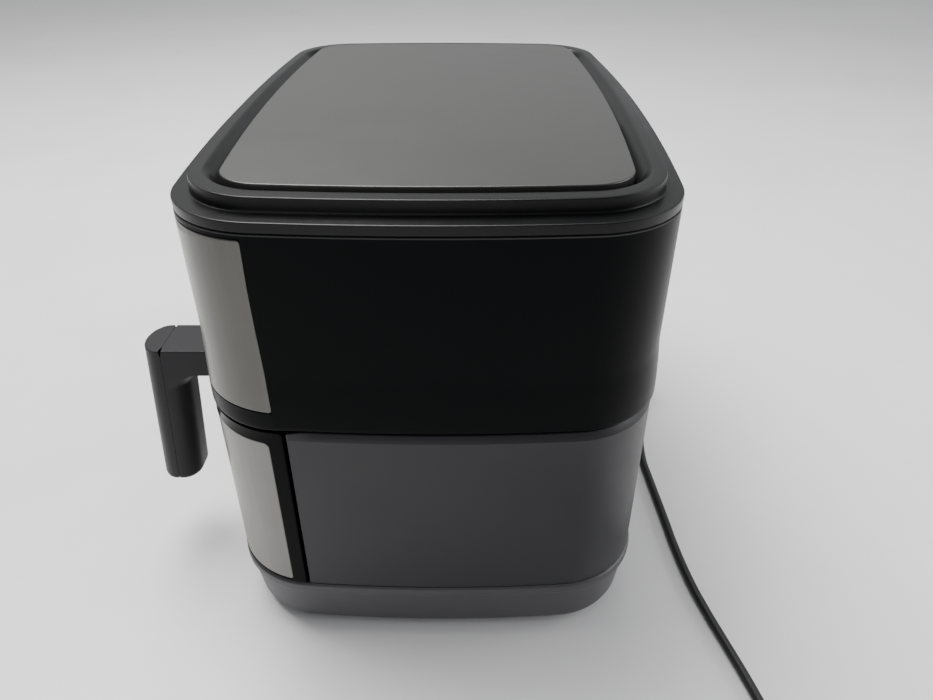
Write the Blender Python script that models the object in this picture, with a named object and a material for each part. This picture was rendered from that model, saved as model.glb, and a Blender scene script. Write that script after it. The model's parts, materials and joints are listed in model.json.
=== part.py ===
"""Countertop air fryer with two side-by-side drawers.

Lengths are millimetres in the body's own frame: +X towards the right-hand drawer, -Y towards the
front, +Z up from the table, with the body's plan centred on X = Y = 0. As each solid is made it is
moved back by SHIFT_Y and scaled to metres, so the whole object is centred on the world's origin.
"""
import math

import bmesh
import bpy
from mathutils import Vector

# Scale and placing
MM = 0.001
SHIFT_Y = 34.25                  # middle of the whole depth, hanging handles included
GAP = 0.3                        # between pieces that touch

# Plan of the body: a rounded rectangle with bowed sides
BODY_HALF_WIDTH = 208.5
BODY_HALF_DEPTH = 144.0
BODY_CORNER = 56.5
BOW_SIDE = 1062.0                # radius of the right and left sides
BOW_FRONT = 2005.0               # radius of the front and back sides

# Heights of the body's levels
FOOT_HEIGHT = 6.0
BASE_TOP = 47.4
DRAWER_BOTTOM = 48.2
DRAWER_TOP = 176.3
HOUSING_BOTTOM = 181.2
BAND_BOTTOM = 191.4
WINDOW_BOTTOM = 217.0
WINDOW_TOP = 283.0
BAND_TOP = 298.0
HOUSING_TOP = 300.6
LEDGE_TOP = 307.6
RIM_TOP = 315.9
PLATE_TOP = 317.5

# Where pieces end along the plan
HOUSING_FRONT_Y = -84.0          # front edges of the lower housing
FRAME_BACK_Y = -86.5             # rear edge of a drawer front, round the corner
STEEL_BACK_Y = -94.5
BAND_BACK_Y = -91.3
CENTRE_GAP = 1.5                 # half the gap between the two drawer fronts
STEEL_START_X = 8.0
WINDOW_HALF = 80.0               # half width of the control window
VENT_HALF = 62.0

# Drawers
PAN_X = (9.0, 179.0)
PAN_Y = (-127.4, 114.0)
PAN_Z = (53.2, 168.0)
PAN_CORNER = 28.0
CRISPER_Z = 66.0

# Handle: an arm with a grip hanging from it, leaning out towards its foot
HANDLE_X = 98.0
HANDLE_HALF = 18.0
HANDLE_TOP = 175.0
HANDLE_BOTTOM = 57.0
ARM_UNDERSIDE = 154.5
SEAM_Y = -189.0                  # joint between grip and cover, at the handle's top
INNER_Y = -174.3                 # face towards the body, at the handle's top
LEAN = 0.087                     # how far the grip leans out per unit of height
COVER_DEPTH = 15.0

# Air system, one for each drawer
ROTOR_X = 94.0
ROTOR_Y = -5.0
DOME_RADIUS = 75.0
DUCT_X = (66.0, 120.0)           # cut-outs in the deck that let cooling air up from behind the liners
DUCT_Y = (118.0, 133.0)
SHAFT_RADIUS = 3.0

# Cord
CORD_RADIUS = 3.25
RELIEF_X = -110.0
RELIEF_Z = 62.0
RELIEF_Y = (144.6, 174.0)
CORD_ROUTE = [
    (-110.0, 174.5, 62.0), (-109.0, 183.0, 61.1), (-106.1, 190.7, 58.5), (-101.6, 196.7, 54.4),
    (-95.9, 200.7, 49.2), (-89.6, 202.0, 43.6), (-78.5, 201.5, 31.8), (-67.0, 199.0, 20.5),
    (-52.0, 196.0, 11.5), (-36.0, 191.8, 5.8), (-18.0, 186.8, 3.8), (5.0, 181.5, 3.4), (30.0, 179.2, 3.4),
    (53.5, 180.2, 3.4), (95.5, 182.6, 3.4), (133.0, 184.6, 3.4), (165.5, 188.2, 3.4),
    (192.0, 193.2, 3.4), (217.5, 199.3, 3.4), (240.5, 204.8, 3.4), (260.0, 208.9, 3.4),
    (279.0, 212.2, 3.4), (296.0, 214.5, 3.4),
]
COIL_CENTRE = (317.0, 172.0)
COIL_RADII = (29.4, 43.4)
COIL_HEIGHT = 13.4
TAIL_ROUTE = [
    (357.4, 146.0, 6.6), (357.5, 139.0, 5.6), (357.4, 131.0, 5.6), (357.2, 123.0, 6.6),
    (357.0, 117.0, 7.6), (356.9, 114.0, 8.0),
]
PLUG_X = 356.9
PLUG_Y = (113.6, 75.0)
PLUG_Z = 8.0


class Plan:
    """A rounded rectangle with bowed sides, walked by the direction of its outward normal."""

    def __init__(self, half_width, half_depth, corner):
        self.half_width = half_width
        self.half_depth = half_depth
        self.corner = corner
        self.cx = half_width - corner
        self.cy = half_depth - corner
        for _ in range(40):
            self.cx = half_width - BOW_SIDE + math.sqrt((BOW_SIDE - corner) ** 2 - self.cy ** 2)
            self.cy = half_depth - BOW_FRONT + math.sqrt((BOW_FRONT - corner) ** 2 - self.cx ** 2)
        self.side_end = math.atan2(self.cy, self.cx - half_width + BOW_SIDE)
        self.front_end = math.atan2(self.cy - half_depth + BOW_FRONT, self.cx)

    def at(self, angle, inset=0.0):
        """The point whose outward normal has this angle, moved in by the inset."""
        c = math.cos(angle)
        s = math.sin(angle)
        quarter = math.atan2(abs(s), abs(c))
        if quarter <= self.side_end:
            x, y, radius = self.half_width - BOW_SIDE, 0.0, BOW_SIDE
        elif quarter >= self.front_end:
            x, y, radius = 0.0, self.half_depth - BOW_FRONT, BOW_FRONT
        else:
            x, y, radius = self.cx, self.cy, self.corner
        x = math.copysign(1.0, c) * x + (radius - inset) * c
        y = math.copysign(1.0, s) * y + (radius - inset) * s
        return x, y


BODY = Plan(BODY_HALF_WIDTH, BODY_HALF_DEPTH, BODY_CORNER)
RIM_OUTER = Plan(196.4, 134.4, 46.8)
RIM_INNER = Plan(186.3, 127.0, 41.8)
PLATE = Plan(182.7, 116.6, 26.3)


def spread(low, high, count):
    return [low + (high - low) * k / count for k in range(count + 1)]


def turn_angles(plan, side=2, corner=5, front=2):
    """Normal angles once round a plan, anticlockwise from +X."""
    quarter = spread(0.0, plan.side_end, side)
    quarter += spread(plan.side_end, plan.front_end, corner)[1:]
    quarter += spread(plan.front_end, math.pi / 2, front)[1:]
    half = quarter + [math.pi - a for a in reversed(quarter[:-1])]
    return half + [math.pi + a for a in half[1:-1]]


TURN = turn_angles(BODY)


def front_angle(x):
    return -math.acos(x / BOW_FRONT)


def back_angle(x):
    return math.acos(x / BOW_FRONT)


def right_angle(y):
    """The normal's angle where the right side, or the corner past its end, has this y."""
    angle = math.asin(y / BOW_SIDE)
    if abs(angle) > BODY.side_end:
        angle = math.copysign(math.asin((abs(y) - BODY.cy) / BODY.corner), y)
    return angle


def stretch(start, stop, extra=()):
    """Angles from start to stop: both ends, the plan's own steps between them, and any extra."""
    steps = [a + turn for a in TURN for turn in (-2 * math.pi, 0.0) if start < a + turn < stop]
    return sorted({start, stop, *extra, *steps})


# Scene, materials and the making of objects

def clear_scene():
    for obj in list(bpy.data.objects):
        bpy.data.objects.remove(obj, do_unlink=True)


def material(name, colour, roughness, metallic=0.0):
    mat = bpy.data.materials.new(name)
    mat.use_nodes = True
    shader = mat.node_tree.nodes["Principled BSDF"]
    shader.inputs["Base Color"].default_value = (*colour, 1.0)
    shader.inputs["Roughness"].default_value = roughness
    shader.inputs["Metallic"].default_value = metallic
    return mat


def world(point):
    return Vector((point[0], point[1] + SHIFT_Y, point[2])) * MM


def pivot(name, point):
    """An empty on a moving group's joint axis."""
    empty = bpy.data.objects.new(name, None)
    empty.location = world(point)
    empty.empty_display_size = 0.02
    bpy.context.scene.collection.objects.link(empty)
    return empty


def add(name, bm, mat, parent=None, side=1):
    """Makes an object of a millimetre bmesh. A side of -1 mirrors it to the left-hand drawer."""
    origin = parent.location if parent else Vector((0.0, 0.0, 0.0))
    for vert in bm.verts:
        vert.co = world((vert.co.x * side, vert.co.y, vert.co.z)) - origin
    bmesh.ops.recalc_face_normals(bm, faces=bm.faces)
    mesh = bpy.data.meshes.new(name)
    bm.to_mesh(mesh)
    bm.free()
    mesh.shade_smooth()
    mesh.set_sharp_from_angle(angle=math.radians(32))
    mesh.materials.append(mat)
    obj = bpy.data.objects.new(name, mesh)
    obj.parent = parent
    bpy.context.scene.collection.objects.link(obj)
    return obj


def add_tube(name, points, radius, mat, sides_step=2, parent=None, side=1):
    """A capped round tube along a polyline."""
    origin = parent.location if parent else Vector((0.0, 0.0, 0.0))
    curve = bpy.data.curves.new(name, "CURVE")
    curve.dimensions = "3D"
    curve.bevel_depth = radius * MM
    curve.bevel_resolution = sides_step
    curve.use_fill_caps = True
    spline = curve.splines.new("POLY")
    spline.points.add(len(points) - 1)
    for slot, point in zip(spline.points, points):
        slot.co = (*(world((point[0] * side, point[1], point[2])) - origin), 1.0)
    curve.materials.append(mat)
    obj = bpy.data.objects.new(name, curve)
    obj.parent = parent
    bpy.context.scene.collection.objects.link(obj)
    return obj


def boolean(obj, cutters, operation):
    """Cuts or joins with a bmesh of closed shapes given in the object's millimetre frame."""
    origin = obj.parent.location if obj.parent else Vector((0.0, 0.0, 0.0))
    for vert in cutters.verts:
        vert.co = world(vert.co) - origin
    bmesh.ops.recalc_face_normals(cutters, faces=cutters.faces)
    mesh = bpy.data.meshes.new(obj.name + "_tool")
    cutters.to_mesh(mesh)
    cutters.free()
    tool = bpy.data.objects.new(obj.name + "_tool", mesh)
    tool.parent = obj.parent
    tool.hide_render = True
    tool.display_type = "WIRE"
    bpy.context.scene.collection.objects.link(tool)
    modifier = obj.modifiers.new(operation.lower(), "BOOLEAN")
    modifier.operation = operation
    modifier.object = tool


# Shape builders, all in millimetres

def loft(rings, closed=False):
    """Skins a stack of equal rings. An open stack is capped, a closed one meets its own start."""
    bm = bmesh.new()
    rows = [[bm.verts.new(point) for point in ring] for ring in rings]
    pairs = list(zip(rows, rows[1:]))
    if closed:
        pairs.append((rows[-1], rows[0]))
    for low, high in pairs:
        for k, vert in enumerate(low):
            after = (k + 1) % len(low)
            bm.faces.new((vert, low[after], high[after], high[k]))
    if not closed:
        bm.faces.new(list(reversed(rows[0])))
        bm.faces.new(rows[-1])
    return bm


def sheet(us, vs, front, back, is_open=None, wrap=False):
    """A closed plate on a grid. front and back give its two faces, is_open its missing cells."""
    bm = bmesh.new()
    made = {}
    columns = len(us) if wrap else len(us) - 1
    rows = len(vs) - 1

    def solid(i, j):
        if wrap:
            i %= columns
        inside = 0 <= i < columns and 0 <= j < rows
        return inside and not (is_open and is_open(i, j))

    def vert(face, i, j):
        i %= len(us)
        if (face, i, j) not in made:
            made[face, i, j] = bm.verts.new(face(us[i], vs[j]))
        return made[face, i, j]

    for i in range(columns):
        for j in range(rows):
            if not solid(i, j):
                continue
            corners = [(i, j), (i + 1, j), (i + 1, j + 1), (i, j + 1)]
            beside = [(i, j - 1), (i + 1, j), (i, j + 1), (i - 1, j)]
            bm.faces.new([vert(front, *c) for c in corners])
            bm.faces.new([vert(back, *c) for c in reversed(corners)])
            for k, cell in enumerate(beside):
                if not solid(*cell):
                    a = corners[k]
                    b = corners[(k + 1) % 4]
                    bm.faces.new((vert(front, *b), vert(front, *a), vert(back, *a), vert(back, *b)))
    return bm


def box(low, high, bm=None):
    """A block from its lowest to its highest corner, in a new bmesh or added to one."""
    bm = bm or bmesh.new()
    corners = [(x, y, z) for x in (low[0], high[0]) for y in (low[1], high[1]) for z in (low[2], high[2])]
    v = [bm.verts.new(c) for c in corners]
    for face in ((0, 1, 3, 2), (4, 6, 7, 5), (0, 4, 5, 1), (2, 3, 7, 6), (0, 2, 6, 4), (1, 5, 7, 3)):
        bm.faces.new([v[k] for k in face])
    return bm


def circle(centre, radius, z, steps):
    angles = spread(0.0, 2 * math.pi, steps)[:-1]
    return [(centre[0] + radius * math.cos(a), centre[1] + radius * math.sin(a), z) for a in angles]


def lathe(centre, profile, steps=20, closed=False):
    """Turns (radius, height) points about the vertical line through the centre."""
    return loft([circle(centre, radius, z, steps) for radius, z in profile], closed)


def rounded_box_ring(xs, ys, radius, inset, z, steps=4):
    """A rectangle's outline with round corners, moved in by the inset."""
    r = radius - inset
    ring = []
    for sx, sy, start in ((1, 1, 0.0), (-1, 1, 0.5), (-1, -1, 1.0), (1, -1, 1.5)):
        cx = (xs[1] - radius) if sx > 0 else (xs[0] + radius)
        cy = (ys[1] - radius) if sy > 0 else (ys[0] + radius)
        for a in spread(start * math.pi, (start + 0.5) * math.pi, steps):
            ring.append((cx + r * math.cos(a), cy + r * math.sin(a), z))
    return ring


def plan_rings(levels):
    """Rings of (plan, inset, height) levels, all with the same normal angles."""
    return [[(*plan.at(a, inset), z) for a in TURN] for plan, inset, z in levels]


def catmull(route, spacing):
    """Points about one spacing apart on a smooth curve through the route's own points."""
    points = [Vector(p) for p in route]
    ends = [2 * points[0] - points[1], *points, 2 * points[-1] - points[-2]]
    curve = [points[0]]
    for a, b, c, d in zip(ends, ends[1:], ends[2:], ends[3:]):
        count = max(1, round((c - b).length / spacing))
        for t in spread(0.0, 1.0, count)[1:]:
            curve.append(0.5 * (2 * b + (c - a) * t + (2 * a - 5 * b + 4 * c - d) * t ** 2
                                + (3 * b - 3 * c + d - a) * t ** 3))
    return curve


# Body

def make_base(plastic, rubber):
    levels = [
        (BODY, 9.0, 10.5), (BODY, 3.8, 39.0), (BODY, 3.4, BASE_TOP), (BODY, -0.1, BASE_TOP),
        (BODY, -1.3, 45.7), (BODY, -1.3, 40.8), (BODY, 0.9, 38.8), (BODY, 4.6, 9.5),
        (BODY, 7.4, FOOT_HEIGHT + GAP),
    ]
    add("base_pan", loft(plan_rings(levels)), plastic)
    foot = [(9.5, 0.0), (11.5, 1.2), (12.5, FOOT_HEIGHT - 0.2)]
    for end, y in (("front", -104.0), ("rear", 104.0)):
        for hand, x in (("right", 162.0), ("left", -162.0)):
            add(f"foot_{end}_{hand}", lathe((x, y), foot, 12), rubber)


def make_lower_housing(plastic):
    """Wall round the sides and back. Its top outer edge is chamfered."""
    chamfer = {DRAWER_TOP: 2.3}
    start = right_angle(HOUSING_FRONT_Y)
    us = stretch(start, math.pi - start)
    vs = [BASE_TOP + 0.5, 172.6, DRAWER_TOP]
    bm = sheet(
        us, vs,
        lambda a, z: (*BODY.at(a, chamfer.get(z, 0.0)), z),
        lambda a, z: (*BODY.at(a, 3.0), z))
    add("lower_housing", bm, plastic)


def housing_inset(z):
    """The upper housing's outer wall: nearly upright, flaring out over its lowest part."""
    upright = 0.5 - 0.5 * (z - WINDOW_BOTTOM) / (HOUSING_TOP - WINDOW_BOTTOM)
    if z >= WINDOW_BOTTOM:
        return upright
    rise = (WINDOW_BOTTOM - z) / (WINDOW_BOTTOM - HOUSING_BOTTOM)
    return 0.5 - 1.9 * math.sin(rise * math.pi / 2)


def band_ends():
    start = right_angle(BAND_BACK_Y)
    return -math.pi - start, start


def make_upper_housing(plastic):
    """Ring wall with a shallow step for the steel band, a control window and a vent opening."""
    left_end, right_end = band_ends()
    step = 0.0004
    window = (front_angle(-WINDOW_HALF), front_angle(WINDOW_HALF))
    vent = (back_angle(VENT_HALF), back_angle(-VENT_HALF))
    edges = (left_end - step, left_end, right_end, right_end + step)
    marks = [a % (2 * math.pi) for a in (*edges, *window, *vent)]
    us = sorted({*TURN, *marks})
    vs = [HOUSING_BOTTOM, 186.5, BAND_BOTTOM - 0.4, BAND_BOTTOM, 203.0, WINDOW_BOTTOM, WINDOW_TOP,
          BAND_TOP, BAND_TOP + 0.4, HOUSING_TOP]
    recess = (left_end % (2 * math.pi) - 1e-6, right_end % (2 * math.pi) + 1e-6)
    openings = [sorted(a % (2 * math.pi) for a in window), sorted(a % (2 * math.pi) for a in vent)]

    def outer(a, z):
        let_in = recess[0] <= a <= recess[1] and BAND_BOTTOM <= z <= BAND_TOP
        return (*BODY.at(a, 1.5 if let_in else housing_inset(z)), z)

    def is_open(i, j):
        if vs[j] != WINDOW_BOTTOM:
            return False
        return any(low - 1e-6 <= us[i] < high - 1e-6 for low, high in openings)

    bm = sheet(us, vs, outer, lambda a, z: (*BODY.at(a, 4.4), z), is_open, wrap=True)
    add("upper_housing", bm, plastic)


def make_front_band(steel):
    """Steel wrap with a window for the controls."""
    left_end, right_end = band_ends()
    inner = 2.0
    window = (front_angle(inner - WINDOW_HALF), front_angle(WINDOW_HALF - inner))
    us = stretch(left_end + 0.0003, right_end - 0.0003, window)
    vs = [BAND_BOTTOM + GAP, WINDOW_BOTTOM + inner, WINDOW_TOP - inner, BAND_TOP - GAP]
    bm = sheet(
        us, vs,
        lambda a, z: (*BODY.at(a, 0.3), z),
        lambda a, z: (*BODY.at(a, 1.2), z),
        lambda i, j: j == 1 and window[0] <= us[i] < window[1])
    add("front_band", bm, steel)


def make_controls(glass, board):
    us = stretch(front_angle(GAP - WINDOW_HALF), front_angle(WINDOW_HALF - GAP))
    vs = [WINDOW_BOTTOM + GAP, WINDOW_TOP - GAP]
    bm = sheet(
        us, vs,
        lambda a, z: (*BODY.at(a, 1.6), z),
        lambda a, z: (*BODY.at(a, 3.6), z))
    add("control_glass", bm, glass)
    add("control_board", box((-72.0, -136.0, 221.0), (72.0, -134.4, 279.0)), board)


def make_rear_vent(plastic):
    """Grille of two columns of slots, set in the opening at the back."""
    half = VENT_HALF - GAP
    xs = [half, half - 7.0, 3.0, -3.0, 7.0 - half, -half]
    us = [back_angle(x) for x in xs]
    slots = 7
    pitch = (WINDOW_TOP - WINDOW_BOTTOM - 6.0) / slots
    vs = [WINDOW_BOTTOM + GAP]
    for k in range(slots):
        vs += [WINDOW_BOTTOM + 5.4 + pitch * k, WINDOW_BOTTOM + 9.8 + pitch * k]
    vs.append(WINDOW_TOP - GAP)
    bm = sheet(
        us, vs,
        lambda a, z: (*BODY.at(a, -0.4), z),
        lambda a, z: (*BODY.at(a, 3.2), z),
        lambda i, j: i in (1, 3) and j % 2 == 1)
    add("rear_vent", bm, plastic)


def make_top(cover_plastic, plate_plastic):
    """Stepped cover, hollow below, and the flat plate sunk in its channel."""
    levels = [
        (PLATE, 4.0, 305.6), (PLATE, -0.9, 305.6), (PLATE, -1.4, 308.6), (RIM_INNER, 0.9, 314.6),
        (RIM_INNER, -0.9, RIM_TOP), (RIM_OUTER, 0.9, RIM_TOP), (RIM_OUTER, 0.0, 315.0),
        (RIM_OUTER, 0.0, 308.8), (RIM_OUTER, -1.2, LEDGE_TOP), (BODY, 0.9, LEDGE_TOP),
        (BODY, 0.0, 306.7), (BODY, 0.0, HOUSING_TOP + 0.6), (BODY, 2.6, HOUSING_TOP + 0.6),
        (BODY, 2.6, 304.9), (RIM_OUTER, 2.6, 304.9), (RIM_OUTER, 2.6, 313.2),
        (RIM_INNER, -2.6, 313.2), (PLATE, -3.4, 303.2), (PLATE, 4.0, 303.2),
    ]
    add("top_cover", loft(plan_rings(levels)), cover_plastic)
    levels = [
        (PLATE, 1.0, PLATE_TOP), (PLATE, 0.0, PLATE_TOP - 1.0), (PLATE, 0.0, 306.0),
        (PLATE, 2.6, 306.0), (PLATE, 2.6, 314.6),
    ]
    add("top_plate", loft(plan_rings(levels)), plate_plastic)


def make_cord_relief(rubber):
    """Flange against the back wall with a tapered sleeve on the cord."""
    profile = [(12.0, 0.0), (12.0, 3.0), (8.2, 4.0), (7.0, 12.0), (5.0, RELIEF_Y[1] - RELIEF_Y[0])]
    rings = []
    for radius, reach in profile:
        ring = circle((RELIEF_X, RELIEF_Z), radius, 0.0, 16)
        rings.append([(x, RELIEF_Y[0] + reach, z) for x, z, _ in ring])
    add("cord_relief", loft(rings), rubber)


# Inside the body

def make_chassis(black, metal, board):
    xs = [-186.5, -183.0, -6.5, 6.5, 183.0, 186.5]
    zs = [48.4, 51.0, 171.5, 176.4]
    bm = sheet(
        xs, zs,
        lambda x, z: (x, -108.0, z),
        lambda x, z: (x, -105.5, z),
        lambda i, j: i in (1, 3) and j == 1)
    add("front_bezel", bm, black)

    deck = add("mid_deck", loft(plan_rings([(BODY, 5.5, 176.9), (BODY, 5.5, 180.8)])), black)
    holes = bmesh.new()
    for x in (ROTOR_X, -ROTOR_X):
        hole = lathe((x, ROTOR_Y), [(79.0, 170.0), (79.0, 190.0)], 28)
        copy_into(hole, holes)
    for side in (1, -1):
        box((side * DUCT_X[0], DUCT_Y[0], 170.0), (side * DUCT_X[1], DUCT_Y[1], 190.0), holes)
    boolean(deck, holes, "DIFFERENCE")

    # Inverted U that carries both motors over their cooling fans
    outline = [(-186, 181.2), (-186, 243.5), (186, 243.5), (186, 181.2), (184, 181.2), (184, 241.9),
               (-184, 241.9), (-184, 181.2)]
    rings = [[(x, y, z) for x, z in outline] for y in (-32.0, 22.0)]
    bridge = add("motor_bridge", loft(rings), metal)
    holes = bmesh.new()
    for x in (ROTOR_X, -ROTOR_X):
        copy_into(lathe((x, ROTOR_Y), [(7.0, 238.0), (7.0, 248.0)], 12), holes)
    boolean(bridge, holes, "DIFFERENCE")
    add("power_board", box((-60.0, 92.0, 184.0), (60.0, 128.0, 186.0)), board)


def copy_into(source, target):
    """Adds one bmesh's faces to another."""
    twins = {vert: target.verts.new(vert.co) for vert in source.verts}
    for face in source.faces:
        target.faces.new([twins[vert] for vert in face.verts])
    source.free()


def make_chamber(hand, side, metal, bright, black):
    """Liner round one pan, and the dome, guard and element above it."""
    liner = add(f"liner_{hand}", box((4.6, -105.0, 49.6), (186.0, 117.6, 174.4)), metal, side=side)
    hollow = box((5.8, -115.0, 50.8), (184.8, 116.4, 190.0))
    for vert in hollow.verts:
        vert.co.x *= side
    boolean(liner, hollow, "DIFFERENCE")

    centre = (ROTOR_X, ROTOR_Y)
    dome = [
        (86.0, 181.2), (86.0, 182.4), (DOME_RADIUS + 1.2, 182.4), (DOME_RADIUS + 0.6, 214.0),
        (66.0, 223.5), (8.0, 223.5), (8.0, 222.3), (65.4, 222.3), (DOME_RADIUS - 0.6, 213.5),
        (DOME_RADIUS, 181.2),
    ]
    add(f"reflector_{hand}", lathe(centre, dome, 20, closed=True), bright, side=side)

    spokes = 6
    width = 0.09
    us = [a + e for a in spread(0.0, 2 * math.pi, spokes)[:-1] for e in (0.0, width)]
    vs = [12.0, 17.0, 42.0, 46.0, 68.0, 72.0]

    def polar(r, a, z):
        return centre[0] + r * math.cos(a), centre[1] + r * math.sin(a), z

    guard = sheet(
        us, vs,
        lambda a, r: polar(r, a, 184.0),
        lambda a, r: polar(r, a, 186.0),
        lambda i, j: i % 2 == 1 and j in (1, 3), wrap=True)
    add(f"guard_{hand}", guard, bright, side=side)

    turns = 1.75
    steps = 30
    element = [polar(38.0 + 27.0 * t, turns * 2 * math.pi * t, 196.0) for t in spread(0.0, 1.0, steps)]
    add_tube(f"heater_{hand}", element, 3.4, metal, 1, side=side)
    add(f"temp_sensor_{hand}", lathe(polar(72.2, -1.5, 0)[:2], [(1.5, 189.0), (1.5, 211.0)], 8), bright, side=side)
    add(f"thermal_fuse_{hand}", box((90.0, 50.0, 224.0), (108.0, 58.0, 230.0)), black, side=side)
    add(f"drawer_switch_{hand}", box((186.3, -97.0, 140.0), (191.8, -84.0, 158.0)), black, side=side)


def make_rotor(hand, side, metal, black):
    """Shaft with the hot-air fan below and the cooling fan above, and the motor over them."""
    axis = pivot(f"rotor_{hand}_axis", (side * ROTOR_X, ROTOR_Y, 220.0))
    centre = (ROTOR_X, ROTOR_Y)
    shaft = [(SHAFT_RADIUS, 202.0), (SHAFT_RADIUS, 243.2)]
    add(f"shaft_{hand}", lathe(centre, shaft, 12), metal, axis, side)

    def fan(name, radius, plate, reach, mat):
        vanes = 5
        us = []
        for a in spread(0.0, 2 * math.pi, vanes)[:-1]:
            us += [a, a + 0.02, a + 0.08, a + 0.10, a + 0.45, a + 0.8]
        vs = [SHAFT_RADIUS + GAP, 15.0, 16.0, radius]

        def point(a, r, z):
            return centre[0] + r * math.cos(a), centre[1] + r * math.sin(a), z

        def under(a, r):
            on_vane = r > 15.0 and us.index(a) % 6 in (1, 2)
            return point(a, r, reach if on_vane else plate[0])

        bm = sheet(us, vs, lambda a, r: point(a, r, plate[1]), under, wrap=True)
        add(name, bm, mat, axis, side)

    fan(f"fan_{hand}", 56.0, (216.0, 217.4), 204.5, metal)
    fan(f"cooling_fan_{hand}", 46.0, (237.0, 238.6), 227.5, black)
    motor = [(16.0, 243.9), (34.0, 246.0), (34.0, 272.0), (30.0, 276.0), (12.0, 277.0), (10.0, 282.0)]
    add(f"motor_{hand}", lathe(centre, motor, 18), metal, side=side)


# Drawers

def make_drawer_front(hand, side, slide, gloss, steel):
    """Gloss frame round the front corner, and the brushed panel let into it."""
    step = 0.0004
    start = front_angle(STEEL_START_X)
    stop = right_angle(STEEL_BACK_Y)
    frame_us = stretch(
        front_angle(CENTRE_GAP), right_angle(FRAME_BACK_Y), (start - step, start, stop, stop + step))
    panel_z = (50.2, 168.6)
    frame_vs = [DRAWER_BOTTOM, panel_z[0] - 0.4, panel_z[0], panel_z[1], panel_z[1] + 0.4, DRAWER_TOP]

    def outer(a, z):
        let_in = start <= a <= stop and panel_z[0] <= z <= panel_z[1]
        return (*BODY.at(a, 0.5 if let_in else -0.9), z)

    frame = sheet(frame_us, frame_vs, outer, lambda a, z: (*BODY.at(a, 9.0), z))
    add(f"drawer_frame_{hand}", frame, gloss, slide, side)
    panel = sheet(
        stretch(start + step, stop - step), [panel_z[0] + GAP, panel_z[1] - GAP],
        lambda a, z: (*BODY.at(a, -0.6), z),
        lambda a, z: (*BODY.at(a, 0.2), z))
    add(f"drawer_steel_{hand}", panel, steel, slide, side)


def lean(y, z):
    """Moves a handle face out by the grip's lean below the handle's top."""
    return y - LEAN * (HANDLE_TOP - z)


def arm_end(x):
    """Where the arm meets the drawer's steel panel."""
    return BODY.at(front_angle(x), -0.6 - GAP)[1]


def make_handle(hand, side, slide, plastic, soft):
    """Arm and the grip's inner half as one body, and the D-shaped cover on the grip's front."""
    fillet = 12.0
    levels = [(HANDLE_BOTTOM, 4.0, None), (59.0, 1.4, None), (63.0, 0.0, None)]
    for t in spread(0.0, math.pi / 2, 4):
        z = ARM_UNDERSIDE - fillet + fillet * math.sin(t)
        levels.append((z, 0.0, lean(INNER_Y, z) + fillet * (1 - math.cos(t))))
    levels += [(155.4, 0.0, "arm"), (173.0, 0.0, "arm"), (174.5, 0.5, "arm"), (HANDLE_TOP, 1.6, "arm")]

    def body_ring(z, inset, back):
        half = HANDLE_HALF - inset
        front = lean(SEAM_Y, z) + GAP / 2
        ring = [(HANDLE_X - half, front, z), (HANDLE_X + half, front, z)]
        if back == "arm":
            xs = spread(HANDLE_X + half, HANDLE_X - half, 7)
            return ring + [(x, arm_end(x), z) for x in xs]
        rear = lean(INNER_Y, z) - inset if back is None else back
        round_off = 6.0
        for sx, start in ((1, 0.0), (-1, 0.5)):
            cx = HANDLE_X + sx * (half - round_off)
            for a in spread(start * math.pi, (start + 0.5) * math.pi, 3):
                ring.append((cx + round_off * math.cos(a), rear - round_off + round_off * math.sin(a), z))
        return ring

    add(f"handle_body_{hand}", loft([body_ring(*level) for level in levels]), plastic, slide, side)

    def cover_ring(z, inset):
        half = HANDLE_HALF - inset
        seam = lean(SEAM_Y, z) - GAP / 2
        depth = COVER_DEPTH - 2.0 - inset
        arc = [(HANDLE_X - half * math.cos(a), seam - 2.0 - depth * math.sin(a), z)
               for a in spread(0.0, math.pi, 10)]
        return [(HANDLE_X - half, seam, z), *arc, (HANDLE_X + half, seam, z)]

    heights = [(HANDLE_BOTTOM, 4.0), (59.0, 1.4), (63.0, 0.0), (173.0, 0.0), (174.5, 0.5), (HANDLE_TOP, 1.6)]
    add(f"handle_cover_{hand}", loft([cover_ring(*h) for h in heights]), soft, slide, side)


def make_pan(hand, side, slide, lift, coated):
    def ring(inset, z):
        return rounded_box_ring(PAN_X, PAN_Y, PAN_CORNER, inset, z)

    low, high = PAN_Z
    rings = [
        ring(13.0, low + 1.6), ring(5.0, low + 4.6), ring(2.6, low + 12.0), ring(1.6, high),
        ring(-0.8, high), ring(-0.8, high - 1.8), ring(0.0, high - 2.0), ring(1.0, low + 12.0),
        ring(3.6, low + 3.6), ring(12.0, low),
    ]
    add(f"pan_{hand}", loft(rings), coated, slide, side)

    plate = loft([rounded_box_ring(PAN_X, PAN_Y, PAN_CORNER, 5.0, z) for z in (CRISPER_Z, CRISPER_Z + 1.6)])
    crisper = add(f"crisper_{hand}", plate, coated, lift, side)
    legs = bmesh.new()
    for x in (40.0, 148.0):
        for y in (-96.0, 85.0):
            box((side * x - 4.0, y - 4.0, PAN_Z[0] + 2.2), (side * x + 4.0, y + 4.0, CRISPER_Z + 0.8), legs)
    boolean(crisper, legs, "UNION")
    slots = bmesh.new()
    for x in spread(30.0, 158.0, 4):
        for y in spread(-80.0, 70.0, 3):
            if abs(x - 94.0) > 1.0:
                box((side * x - 3.0, y - 17.0, 60.0), (side * x + 3.0, y + 17.0, 72.0), slots)
    copy_into(lathe((side * 94.0, ROTOR_Y), [(11.0, 60.0), (11.0, 72.0)], 14), slots)
    boolean(crisper, slots, "DIFFERENCE")


# Cord

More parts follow.
